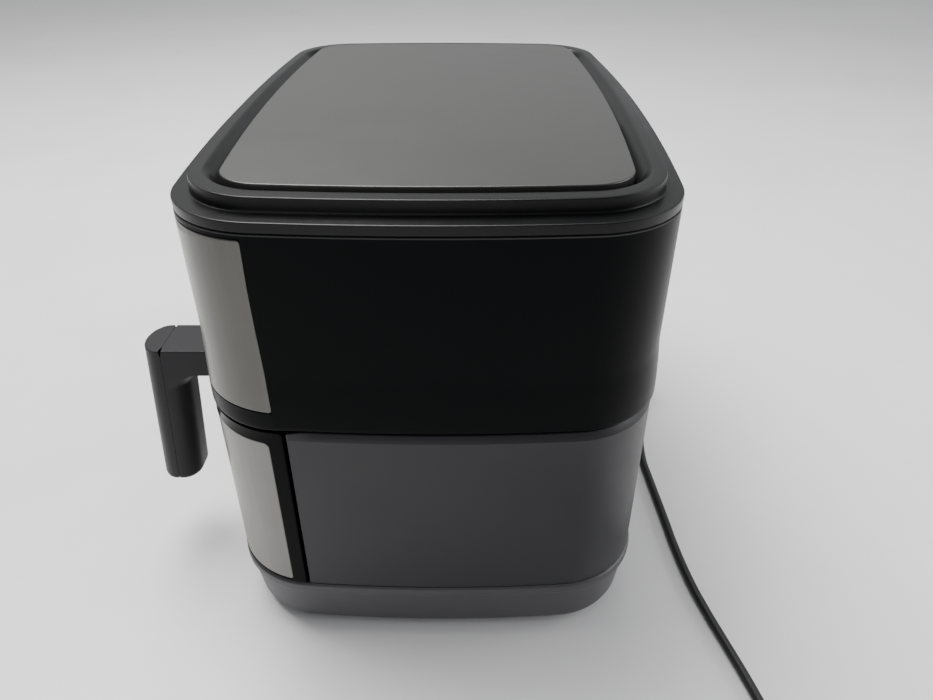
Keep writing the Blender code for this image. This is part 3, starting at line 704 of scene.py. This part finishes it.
def make_cord():
    route = CORD_ROUTE + coil_points() + LEAVING + TAIL_ROUTE
    points = smooth_curve(route, 4.0)
    curve = bpy.data.curves.new("cord_line", "CURVE")
    curve.dimensions = "3D"
    curve.bevel_depth = CORD_RADIUS * MM
    curve.bevel_resolution = 6
    curve.use_fill_caps = True
    spline = curve.splines.new("POLY")
    spline.points.add(len(points) - 1)
    for slot, point in zip(spline.points, points):
        slot.co = (*place(point), 1.0)
    spline.use_smooth = True
    curve.materials.append(LOOKS["rubber"])
    cord = bpy.data.objects.new("cord_line", curve)
    bpy.context.scene.collection.objects.link(cord)
    settle(cord, "body", ("cord", "cord_coil", "cord_tail"))
    relief = make_relief()
    plug = make_plug()
    blades = make_blades()
    tie = make_tie()


def make_tie():
    """Narrow strap round every turn of the coil."""
    a = math.radians(TIE_ANGLE)
    out = Vector((math.cos(a), math.sin(a), 0.0))
    along = Vector((-math.sin(a), math.cos(a), 0.0))
    centre = Vector((*COIL_CENTRE, 0.0))
    rings = []
    for reach, inset in ((-2.6, 0.25), (-2.3, 0.0), (2.3, 0.0), (2.6, 0.25), (2.6, 0.7), (-2.6, 0.7)):
        outline = round_box_ring((29.0, 44.2), (0.05, 13.6), 5.5, inset, 0.0, 6)
        rings.append([tuple(centre + out * r + along * reach + Vector((0.0, 0.0, z)))
                      for r, z, _ in outline])
    return piece("coil_tie", loft(rings, closed=True), "rubber", bevel=0.1)


def make_relief():
    """Flange on the wall and a ribbed sleeve that tapers on to the cord."""
    reach = RELIEF_Y[1] - RELIEF_Y[0]
    profile = [(0.0, 11.6), (0.4, 12.0), (2.6, 12.0), (3.2, 11.2), (4.0, 8.4)]
    ribs = 6
    for k in range(ribs):
        start = 5.0 + (reach - 6.0) * k / ribs
        radius = 7.6 - 3.0 * k / ribs
        profile += [(start, radius - 0.9), (start + 0.5, radius), (start + 2.4, radius - 0.25),
                    (start + 2.9, radius - 1.1)]
    profile += [(reach - 0.8, 4.3), (reach, 3.9)]
    rings = []
    for along, radius in profile:
        ring = circle((RELIEF_X, RELIEF_Z), radius, 0.0, 32)
        rings.append([(x, RELIEF_Y[0] + along, z) for x, z, _ in ring])
    return piece("relief_sleeve", loft(rings), "rubber", stands_for=("cord_relief",))


def make_plug():
    """Moulded plug with a waist for the fingers and grip ribs near the cord."""
    levels = [
        (4.2, 4.0, 0.0), (4.8, 4.4, 1.5), (5.0, 4.3, 4.0), (5.8, 4.9, 5.0), (5.6, 4.7, 7.0),
        (6.6, 5.5, 8.0), (6.6, 5.4, 10.0), (8.2, 6.4, 12.0), (10.6, 7.3, 18.0), (12.4, 7.7, 24.0),
        (12.9, 7.75, 30.0), (13.4, 7.75, 32.0), (13.4, 7.75, 37.6), (12.8, 7.2, 38.6),
    ]
    rings = []
    for half, high, reach in levels:
        outline = round_box_ring((-half, half), (-high, high), min(half, high) * 0.7, 0.0, 0.0, 6)
        rings.append([(PLUG_X + x, PLUG_BACK - reach, PLUG_Z + z) for x, z, _ in outline])
    return piece("plug_body", loft(rings), "rubber", stands_for=("plug",))


def make_blades():
    """Two flat blades and the round earth pin."""
    bm = bmesh.new()
    for x in (-6.35, 6.35):
        box((PLUG_X + x - 0.75, PLUG_FACE - 15.8, PLUG_Z - 0.5),
            (PLUG_X + x + 0.75, PLUG_FACE + 1.0, PLUG_Z + 5.3), bm)
    profile = [(1.2, -17.8), (2.0, -16.8), (2.25, -15.5), (2.25, 1.0)]
    rings = []
    for radius, along in profile:
        ring = circle((PLUG_X, PLUG_Z - 4.6), radius, 0.0, 20)
        rings.append([(x, PLUG_FACE + along, z) for x, z, _ in ring])
    copy_into(loft(rings), bm)
    return piece("plug_blades", bm, "bright_metal", bevel=0.2)


# Body shell

LIP_TOP = edge("base_pan", 2, 1)
HOUSING_BOTTOM = edge("upper_housing", 2, 0)
HOUSING_TOP = edge("upper_housing", 2, 1)
BAND_Z = (edge("front_band", 2, 0), edge("front_band", 2, 1))
LOWER_TOP = edge("lower_housing", 2, 1)
RIM_TOP = edge("top_cover", 2, 1)
PLATE_TOP = edge("top_plate", 2, 1)
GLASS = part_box("control_glass")
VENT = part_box("rear_vent")
HOUSING_START = side_s(edge("lower_housing", 1, 0))
BAND_END = side_s(edge("front_band", 1, 1))
BAND_SEAT = 1.1
SEAM_LIP = 3.8
FRAME_RISE = 1.0


def make_base():
    levels = [
        (BODY, 9.0, 10.5), (BODY, 3.8, 39.0), (BODY, 3.4, LIP_TOP), (BODY, 0.3, LIP_TOP),
        (BODY, -1.1, 46.1), (BODY, -1.25, 45.2), (BODY, -1.25, 41.2), (BODY, -0.4, 40.0),
        (BODY, 0.9, 39.2), (BODY, 1.3, 36.0), (BODY, 4.2, 12.0), (BODY, 5.6, 8.4),
        (BODY, 7.6, 6.6), (BODY, 10.0, 6.3),
    ]
    # The base shell wears a lighter copy of lower_grey: painted light from the table's bounce.
    piece("base_shell", loft(plan_rings(levels)), "lower_grey", stands_for=("base_pan",), bevel=0.3,
          look="lower_grey_lit_copy")
    for end in ("front", "rear"):
        for hand in ("right", "left"):
            node = f"foot_{end}_{hand}"
            low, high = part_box(node)
            centre = ((low.x + high.x) / 2 / MM, (low.y + high.y) / 2 / MM - SHIFT)
            profile = [(7.0, 0.9), (8.0, 0.0), (10.6, 0.0), (11.6, 0.5), (12.3, 2.0), (12.4, 5.8)]
            piece(f"{node}_pad", lathe(centre, profile, 36), "rubber", stands_for=(node,))


def make_lower_housing():
    """Wall round the sides and back: a narrow chamfer along its top, an inner lip behind the seam."""
    fade = 11.0
    start = HOUSING_START
    stop = BODY.length - start
    patch = Patch((start, stop), (LIP_TOP + 0.5, LOWER_TOP), (0.6, 0.6, 1.2, 1.2), 120,
                  (0.0, 0.2, 0.45, 0.7, 0.9, 0.962, 0.966, 0.97, 0.985, 1.0))

    def surface(s, z, depth):
        if depth > 2.0:
            return wall(s, z, depth + SEAM_LIP * ease((z - 171.5) / 1.5))
        return wall(s, z, depth + 0.62 * max(z - 172.0, 0.0) * ease(min(s - start, stop - s) / fade))

    stages = [(patch, 3.0), *rounded_edge(patch, 0.0, 0.7)]
    piece("lower_wall", plate(stages, surface), "lower_grey", stands_for=("lower_housing",))


def from_front(s):
    """Distance along the wall from the front's middle: positive on the right, negative on the left."""
    return s - BODY.length if s > BODY.length / 2 else s


def band_edge(s, z):
    """Leans the band's two rear edges: they run further back towards the bottom."""
    t = min(max((z - BAND_Z[0]) / (BAND_Z[1] - BAND_Z[0]), 0.0), 1.0)
    near = ease(1.0 - abs(abs(from_front(s)) - BAND_END) / 30.0)
    return s + math.copysign(near * (2.2 - 4.2 * t + 1.5 * t * t), from_front(s))


def hung(s, z):
    """Hangs the upper housing's lowest edge a little lower, most of all across the front."""
    drop = 1.1 + 1.4 * ease((BAND_END + 25.0 - abs(from_front(s))) / 50.0)
    return z - drop * ease((190.0 - z) / (190.0 - HOUSING_BOTTOM))


def housing_inset(z):
    """The upper housing's outer wall: nearly upright, flaring out over its lowest part."""
    waist = 217.0
    if z >= waist:
        return 0.5 - 0.5 * (z - waist) / (HOUSING_TOP - waist)
    rise = (waist - z) / (waist - HOUSING_BOTTOM)
    return 0.5 - 1.9 * math.sin(rise * math.pi / 2)


def make_upper_housing():
    """Ring wall, let in a little behind the steel band, open for the controls and the vent."""
    step = 0.3
    seat = [BAND_END - 0.3, BAND_END + step - 0.3]
    seat += [BODY.length - s for s in seat]
    glass = [front_s(GLASS[1].x / MM), BODY.length - front_s(GLASS[1].x / MM)]
    middle = BODY.length / 2
    vent = [middle + front_s(VENT[0].x / MM), middle + front_s(VENT[1].x / MM)]
    plain = [BODY.along(a) for a in TURN]
    marks = seat + glass + vent
    us = sorted(marks + [s for s in plain if min(abs(s - m) for m in marks) > 0.8])
    z0, z1 = GLASS[0].z / MM - 0.3, GLASS[1].z / MM + 0.3
    flare = [HOUSING_BOTTOM + 0.25, HOUSING_BOTTOM + 0.9, 184.0, 187.0]
    vs = [HOUSING_BOTTOM, *flare, BAND_Z[0] - 0.6, BAND_Z[0] - 0.2, 197.0, 204.0, 210.0, z0, 240.0,
          262.0, z1, 290.0, BAND_Z[1] + 0.2, BAND_Z[1] + 0.6, HOUSING_TOP - 0.5, HOUSING_TOP]
    ends = {HOUSING_BOTTOM: 0.9, flare[0]: 0.35, HOUSING_TOP: 0.45}

    def outer(s, z):
        behind = s <= seat[0] or s >= seat[2]
        if behind and BAND_Z[0] - 0.3 <= z <= BAND_Z[1] + 0.3:
            return wall(band_edge(s, z), z, housing_inset(z) + BAND_SEAT)
        return wall(band_edge(s, z), hung(s, z), housing_inset(z) + ends.get(z, 0.0))

    def is_open(i, j):
        if not z0 <= vs[j] < z1:
            return False
        return us[i] < glass[0] or us[i] >= glass[1] or vent[0] <= us[i] < vent[1]

    bm = sheet(us, vs, outer, lambda s, z: wall(s, hung(s, z), 4.4), is_open, wrap=True)
    piece("upper_wall", bm, "housing_black", stands_for=("upper_housing",))


def make_front_band():
    half = GLASS[1].x / MM + 0.3
    outer = Patch((-BAND_END, BAND_END), BAND_Z, (2.0, 2.0, 2.0, 2.0), 110)
    hole = Patch((-half, half), (GLASS[0].z / MM - 0.3, GLASS[1].z / MM + 0.3), (5.0,) * 4, 110)
    front = rounded_edge(outer, -0.05, 0.7)
    window = list(reversed(rounded_edge_in(hole, -0.05, 0.4)))
    loops = [border_points(*stage) for stage in front]
    loops += between(loops[-1], border_points(*window[0]), 44)
    loops += [border_points(*stage) for stage in window]
    back = BAND_SEAT - 0.3
    loops.append(border_points(hole, back))
    loops += between(loops[-1], border_points(outer, back), 44)
    loops.append(border_points(outer, back))
    rings = [[wall(band_edge(s, z), z, depth + housing_inset(z)) for s, z, depth in loop]
             for loop in loops]
    # The band wears a darker copy of brushed_steel: painted shade.
    piece("steel_band", loft(rings, closed=True), "brushed_steel", stands_for=("front_band",), look="band_steel_painted_shade")


def rounded_edge_in(patch, depth, radius, steps=3):
    """Stages round an opening's edge, from its wall to the face round it."""
    turns = spread(0.0, math.pi / 2, steps)
    return [(patch.inset(-radius * (1 - math.cos(t))), depth + radius * (1 - math.sin(t))) for t in turns]


def make_controls():
    half = GLASS[1].x / MM
    patch = Patch((-half, half), (GLASS[0].z / MM, GLASS[1].z / MM), (4.8,) * 4, 40)
    stages = [(patch, 3.6), *rounded_edge(patch, 1.6, 0.3)]
    piece("touch_glass", plate(stages, wall), "control_glass", stands_for=("control_glass",))


def make_rear_vent():
    """Framed grille of sloping slats in two columns."""
    middle = BODY.length / 2
    half = VENT[1].x / MM
    z0, z1 = VENT[0].z / MM, VENT[1].z / MM
    slots = 11
    bars = [-half, -half + 5.0, -2.0, 2.0, half - 5.0, half]
    us = []
    for a, b in zip(bars, bars[1:]):
        us += spread(middle + a, middle + b, max(1, round((b - a) / 12.0)))[:-1]
    us.append(middle + half)
    pitch = (z1 - z0 - 7.0) / slots
    vs = [z0, z0 + 0.8]
    for k in range(slots):
        vs += [z0 + 5.0 + pitch * k, z0 + 5.0 + pitch * k + pitch * 0.55]
    vs += [z1 - 0.8, z1]

    def is_open(i, j):
        centre = (us[i] + us[i + 1]) / 2 - middle
        return j >= 2 and j % 2 == 0 and j < len(vs) - 3 and 2.0 < abs(centre) < half - 5.0

    def front(s, z):
        at_rim = z in (vs[0], vs[-1])
        return wall(s, z, 0.3 if at_rim else -0.3)

    bm = sheet(us, vs, front, lambda s, z: wall(s, z - 2.2 if vs[1] < z < vs[-2] else z, 3.2), is_open)
    piece("vent_grille", bm, "housing_black", stands_for=("rear_vent",), bevel=0.25)


def make_top():
    levels = [
        (PLATE, 4.0, 305.6), (PLATE, -0.9, 305.6), (PLATE, -1.2, 307.0), (PLATE, -1.9, 309.0),
        (RIM_INNER, 3.2, 312.4), (RIM_INNER, 1.2, 314.4), (RIM_INNER, 0.0, 315.3),
        (RIM_INNER, -1.3, RIM_TOP), (RIM_OUTER, 0.9, RIM_TOP), (RIM_OUTER, 0.25, 315.6),
        (RIM_OUTER, 0.0, 315.0), (RIM_OUTER, 0.0, 308.9), (RIM_OUTER, -0.4, 308.0),
        (RIM_OUTER, -1.2, 307.6), (BODY, 0.9, 307.6), (BODY, 0.25, 307.3), (BODY, 0.0, 306.7),
        (BODY, 0.15, 302.0), (BODY, 0.9, HOUSING_TOP + 0.6), (BODY, 2.6, HOUSING_TOP + 0.6),
        (BODY, 2.6, 304.9), (RIM_OUTER, 2.6, 304.9), (RIM_OUTER, 2.6, 313.2),
        (RIM_INNER, -2.6, 313.2), (PLATE, -3.4, 303.2), (PLATE, 4.0, 303.2),
    ]
    piece("lid", loft(plan_rings(levels)), "cover_black", stands_for=("top_cover",))
    levels = [
        (PLATE, 22.0, PLATE_TOP), (PLATE, 0.9, PLATE_TOP), (PLATE, 0.4, PLATE_TOP - 0.12),
        (PLATE, 0.1, PLATE_TOP - 0.45), (PLATE, 0.0, PLATE_TOP - 0.9), (PLATE, 0.0, 306.0),
        (PLATE, 2.6, 306.0), (PLATE, 2.6, 314.6),
    ]
    piece("lid_plate", loft(plan_rings(levels)), "plate_black", stands_for=("top_plate",))


# Drawers

ROTOR_X = 94.0
ROTOR_Y = -5.0
HANDLE_X = (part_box("handle_cover_right")[0].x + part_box("handle_cover_right")[1].x) / 2 / MM
HANDLE_HALF = (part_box("handle_cover_right")[1].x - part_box("handle_cover_right")[0].x) / 2 / MM
HANDLE_TOP = edge("handle_cover_right", 2, 1)
HANDLE_BOTTOM = edge("handle_cover_right", 2, 0)
ARM_UNDERSIDE = 155.0
SEAM_Y = -189.0
INNER_Y = -174.3
LEAN = 0.087
COVER_DEPTH = 14.9
GRIP_CORNER = 13.0


def make_drawer_front(hand, side):
    """Gloss frame round the corner of the body, and the steel panel let into it."""
    drawer = f"drawer_{hand}"
    node = f"drawer_frame_{hand}"
    start = front_s(edge("drawer_frame_right", 0, 0))
    stop = side_s(edge("drawer_frame_right", 1, 1))
    low, high = edge(node, 2, 0), edge(node, 2, 1)
    rows = (0.0, 0.03, 0.25, 0.5, 0.75, 0.95, 1.0)
    back = Patch((start, stop), (low, high), (1.6, 1.6, 2.6, 1.6), 60, rows)
    rim = Patch((start, stop), (low, high + FRAME_RISE), (1.6, 1.6, 2.6, 1.6), 60, rows)
    seat = Patch((front_s(8.0), side_s(-94.5)), (50.2, 168.6), (2.2, 2.2, 4.2, 2.2), 60, rows)
    stages = [(back, 9.0), (back, 4.7), (rim, 4.5), *rounded_edge(rim, -0.9, 0.9, 4)]
    stages += reversed(rounded_edge_in(seat, -0.9, 0.25, 2))
    stages.append((seat, 0.5))
    piece(f"front_frame_{hand}", plate(stages, wall), "frame_gloss", drawer, (node,), side)

    panel = seat.inset(0.3)
    stages = [(panel, 0.2), *rounded_edge(panel, -0.6, 0.7)]
    panel_node = f"drawer_steel_{hand}"
    piece(f"front_panel_{hand}", plate(stages, wall), "brushed_steel", drawer, (panel_node,), side)


def lean(y, z):
    """Moves a handle face out by the grip's lean below the handle's top."""
    return y - LEAN * (HANDLE_TOP - z)


def notch(x_off, z):
    """Half width of the small V that opens in the seam at its two upper ends."""
    return 0.85 * ease((abs(x_off) - 11.5) / 5.0) * ease((z - 170.0) / 4.0)


def handle_levels():
    """(height, inset) of the rounded bottom and the straight grip; top_levels gives the crisp top edge."""
    levels = []
    for t in spread(0.0, math.pi / 2, 5):
        levels.append((HANDLE_BOTTOM + 5.0 * (1 - math.cos(t)), 5.0 * (1 - math.sin(t))))
    levels += [(z, 0.0) for z in (70.0, 90.0, 110.0, 128.0)]
    return levels


def top_levels():
    levels = [(z, 0.0) for z in (160.0, 166.0, 170.0, 172.0)]
    return levels + [(HANDLE_TOP - 0.8 + 0.8 * math.sin(t), 0.8 * (1 - math.cos(t)))
                     for t in spread(0.0, math.pi / 2, 3)]


def body_ring(z, inset, rear, corner, arm, seam_inset):
    """One level of the arm and grip: seam side, rounded inner side, or the arm's end."""
    half = HANDLE_HALF - inset
    ring = []
    for t in spread(-1.0, 1.0, 16):
        x = half * t
        ring.append((HANDLE_X + x, lean(SEAM_Y, z) + 0.12 + notch(x, z) + seam_inset, z))
    steps = 6
    for sx, first in ((1, 0.0), (-1, 0.5)):
        cx = HANDLE_X + sx * (half - corner)
        for a in spread(first * math.pi, (first + 0.5) * math.pi, steps):
            x = cx + corner * math.cos(a)
            y = rear - corner + corner * math.sin(a)
            if arm:
                y = BODY.at(-math.acos(x / BOW_FRONT), -0.9)[1] - (1 - math.sin(a)) * 0.6
            ring.append((x, y, z))
    return ring


def make_handle(hand, side):
    drawer = f"drawer_{hand}"
    fillet = 12.0
    rings = []
    for z, inset in handle_levels():
        rings.append(body_ring(z, inset, lean(INNER_Y, z) - inset, GRIP_CORNER - inset, False, 0.6 * inset))
    for t in spread(0.0, math.pi / 2, 7):
        z = ARM_UNDERSIDE - fillet + fillet * math.sin(t)
        rear = lean(INNER_Y, z) + fillet * (1 - math.cos(t))
        rings.append(body_ring(z, 0.0, rear, GRIP_CORNER + (2.0 - GRIP_CORNER) * t / (math.pi / 2), False, 0.0))
    end = BODY.at(-math.acos(HANDLE_X / BOW_FRONT), -0.9)[1]
    start = lean(INNER_Y, ARM_UNDERSIDE) + fillet
    for t in (0.2, 0.45, 0.72):
        rings.append(body_ring(ARM_UNDERSIDE + 0.05 * t, 0.0, start + (end - start) * t, 1.6, False, 0.0))
    rings.append(body_ring(ARM_UNDERSIDE + 0.2, 0.0, end, 1.2, True, 0.0))
    rings.append(body_ring(ARM_UNDERSIDE + 1.2, 0.0, end, 1.2, True, 0.0))
    rings += [body_ring(z, inset, end, 1.2, True, 0.0) for z, inset in top_levels()]
    node = f"handle_body_{hand}"
    piece(f"handle_arm_{hand}", loft(rings), "handle_grey", drawer, (node,), side)

    rings = []
    for z, inset in handle_levels() + [(143.0, 0.0), (152.0, 0.0)] + top_levels():
        half = HANDLE_HALF - inset
        seam = lean(SEAM_Y, z) - 0.12
        depth = COVER_DEPTH - 2.0 - inset
        ring = [(HANDLE_X + half * t, seam - notch(half * t, z) - 0.6 * inset * (z < 100.0), z)
                for t in spread(1.0, -1.0, 16)]
        ring += [(HANDLE_X - half * math.cos(a), seam - 2.0 - depth * math.sin(a), z)
                 for a in spread(0.0, math.pi, 20)]
        rings.append(ring)
    node = f"handle_cover_{hand}"
    piece(f"grip_cover_{hand}", loft(rings), "handle_grey", drawer, (node,), side)


def make_pan(hand, side):
    low, high = edge("pan_right", 2, 0), edge("pan_right", 2, 1)
    xs = (edge("pan_right", 0, 0) + 0.8, edge("pan_right", 0, 1) - 0.8)
    ys = (edge("pan_right", 1, 0) + 0.8, edge("pan_right", 1, 1) - 0.8)
    corner = 28.0

    def ring(inset, z):
        return round_box_ring(xs, ys, corner, inset, z, 10)

    rings = [
        ring(13.0, low + 1.6), ring(9.0, low + 2.1), ring(6.4, low + 3.5), ring(4.6, low + 6.0),
        ring(3.0, low + 10.0), ring(2.5, low + 16.0), ring(1.7, high - 6.0), ring(1.5, high - 0.4),
        ring(1.2, high), ring(-0.3, high), ring(-0.75, high - 0.4), ring(-0.75, high - 1.6),
        ring(-0.4, high - 2.0), ring(0.1, high - 2.2), ring(1.0, low + 16.0), ring(1.5, low + 9.6),
        ring(3.2, low + 5.2), ring(5.2, low + 2.4), ring(8.2, low + 0.6), ring(12.0, low),
    ]
    piece(f"pan_shell_{hand}", loft(rings), "pan_coating", f"drawer_{hand}", (f"pan_{hand}",), side)


def make_fans(hand, side):
    """Hot-air fan with swept blades, and the cooling fan above it, on their shaft."""
    rotor = f"rotor_{hand}"
    centre = (ROTOR_X, ROTOR_Y)
    for name, slot, blades, tip in (("fan", "sheet_metal", 9, 0.6), ("cooling_fan", "housing_black", 7, 0.5)):
        low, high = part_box(f"{name}_right")
        bottom, top = low.z / MM, high.z / MM
        radius = (high.x - low.x) / 2 / MM - 0.6
        bm = lathe(centre, [(3.2, bottom + 0.4), (10.0, bottom + 0.4), (10.4, bottom + 0.9),
                            (10.4, top - 0.9), (10.0, top - 0.4), (3.2, top - 0.4)], 32, closed=True)
        for k in range(blades):
            copy_into(blade(centre, 2 * math.pi * k / blades, radius, bottom + 0.4, top - 0.4, tip), bm)
        piece(f"{name}_wheel_{hand}", bm, slot, rotor, (f"{name}_{hand}",), side, bevel=0.15)


def blade(centre, start, radius, bottom, top, sweep):
    """One blade: a thin strip that runs out from the hub and trails in a curve."""
    rings = []
    for t in spread(0.0, 1.0, 8):
        r = 9.6 + (radius - 9.6) * t
        a = start + sweep * t * t
        tilt = 1.6 * (1 - 0.4 * t)
        ring = []
        for z, lean_, half in ((bottom, -tilt, 0.45), (top, tilt, 0.45)):
            for sign in ((-1, 1) if z == bottom else (1, -1)):
                off = lean_ + sign * half
                ring.append((centre[0] + r * math.cos(a) - off * math.sin(a),
                             centre[1] + r * math.sin(a) + off * math.cos(a), z))
        rings.append(ring)
    return loft(rings)


def make_heater(hand, side):
    """Tubular element in a flat spiral."""
    turns = 1.75
    points = []
    for t in spread(0.0, 1.0, 90):
        a = turns * 2 * math.pi * t
        r = 38.0 + 27.0 * t
        points.append((ROTOR_X + r * math.cos(a), ROTOR_Y + r * math.sin(a), 196.0))
    rings = []
    for k, point in enumerate(points):
        before = Vector(points[max(k - 1, 0)])
        after = Vector(points[min(k + 1, len(points) - 1)])
        ahead = (after - before).normalized()
        across = ahead.cross(Vector((0.0, 0.0, 1.0)))
        rings.append([tuple(Vector(point) + 3.3 * (across * math.cos(b) + Vector((0.0, 0.0, math.sin(b)))))
                      for b in spread(0.0, 2 * math.pi, 14)[:-1]])
    piece(f"element_{hand}", loft(rings), "sheet_metal", "body", (f"heater_{hand}",), side)


def make_crisper(hand, side):
    """Perforated plate with four feet, matching the CAD plate's outline."""
    low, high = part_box("crisper_right")
    z0 = high.z / MM - 1.6
    xs = (low.x / MM, high.x / MM)
    ys = (edge("crisper_right", 1, 0), edge("crisper_right", 1, 1))
    us = [xs[0], xs[0] + 6.0]
    holes = 11
    pitch = (xs[1] - xs[0] - 34.0) / holes
    us += [v for k in range(holes) for v in (xs[0] + 17.0 + pitch * k, xs[0] + 17.0 + pitch * k + 6.0)]
    us += [xs[1] - 6.0, xs[1]]
    rows = 16
    step = (ys[1] - ys[0] - 34.0) / rows
    vs = [ys[0], ys[0] + 6.0]
    vs += [v for k in range(rows) for v in (ys[0] + 17.0 + step * k, ys[0] + 17.0 + step * k + 6.0)]
    vs += [ys[1] - 6.0, ys[1]]
    corner = 23.0

    def fit(x, y):
        """Pulls the square plate's corners in to the pan's round ones."""
        cx = min(max(x, xs[0] + corner), xs[1] - corner)
        cy = min(max(y, ys[0] + corner), ys[1] - corner)
        dx, dy = x - cx, y - cy
        if dx == 0.0 or dy == 0.0:
            return x, y
        scale = max(abs(dx), abs(dy)) / math.hypot(dx, dy)
        return cx + dx * scale, cy + dy * scale

    def face(z):
        return lambda x, y: (*fit(x, y), z)

    def is_open(i, j):
        return 2 <= i < len(us) - 3 and 2 <= j < len(vs) - 3 and i % 2 == 0 and j % 2 == 0

    bm = sheet(us, vs, face(z0 + 1.6), face(z0), is_open)
    for x in (40.0, 148.0):
        for y in (-96.0, 85.0):
            box((x - 3.8, y - 3.8, low.z / MM), (x + 3.8, y + 3.8, z0 + 0.8), bm)
    piece(f"crisper_grid_{hand}", bm, "pan_coating", f"crisper_plate_{hand}", (f"crisper_{hand}",),
          side, bevel=0.25)


# Looks of the record's slots

LOOKS = {
    # housing_black paints its top 0.55 mm pale: a painted highlight along the upper housing's top edge.
    "housing_black": moulded("housing_black", (0.0018, 0.0021, 0.0026), 0.33, 0.05, 0.2, 0.04,
                             lip=(HOUSING_TOP - 0.55) * MM),
    "lower_grey": moulded("lower_grey", (0.0155, 0.0153, 0.018), 0.42, 0.36, 0.3, 0.05),
    # A lighter copy of lower_grey for the base: painted light standing in for the table's bounce on its downward
    # faces.
    "lower_grey_lit_copy": moulded("lower_grey_lit_copy", (0.046, 0.0447, 0.05), 0.42, 0.5, 0.3, 0.05),
    "cover_black": moulded("cover_black", (0.0026, 0.0028, 0.0032), 0.33, 0.22, 0.2, 0.05),
    "plate_black": moulded("plate_black", (0.021, 0.021, 0.02), 0.36, 0.62, 0.2, 0.03, 0.5),
    "frame_gloss": gloss("frame_gloss", (0.002, 0.002, 0.0023), 0.12, 0.04, 0.02),
    "brushed_steel": brushed("brushed_steel", (0.18, 0.178, 0.168), 0.33),
    # A darker copy of brushed_steel for the front band: painted shade standing in for the darker surroundings
    # the band reflects.
    "band_steel_painted_shade": brushed("band_steel_painted_shade", (0.108, 0.107, 0.1), 0.31),
    "handle_grey": moulded("handle_grey", (0.013, 0.013, 0.015), 0.44, 0.2, 0.35, 0.05),
    "pan_coating": coated("pan_coating", (0.02, 0.02, 0.021), 0.4),
    "sheet_metal": metal("sheet_metal", (0.52, 0.52, 0.51), 0.42),
    "bright_metal": metal("bright_metal", (0.72, 0.72, 0.72), 0.22, 0.05),
    "rubber": moulded("rubber", (0.012, 0.012, 0.013), 0.5, 0.4, 0.3, 0.06, 0.2),
    "control_glass": gloss("control_glass", (0.003, 0.003, 0.0035), 0.07, 0.2, 0.08),
    "circuit_board": board_look("circuit_board", (0.01, 0.09, 0.04)),
}


def dress_nodes():
    """Gives every CAD node the look of its own slot."""
    for part in frame["record"]["subparts"]:
        node = frame["nodes"][part["node"]]
        for slot in node.material_slots:
            slot.material = LOOKS[part["material_slot"]]


make_camera()
make_cord()
make_stage()
dress_nodes()
make_base()
make_lower_housing()
make_upper_housing()
make_front_band()
make_controls()
make_rear_vent()
make_top()
for hand, side in (("right", 1), ("left", -1)):
    make_drawer_front(hand, side)
    make_handle(hand, side)
    make_pan(hand, side)
    make_crisper(hand, side)
    make_fans(hand, side)
    make_heater(hand, side)
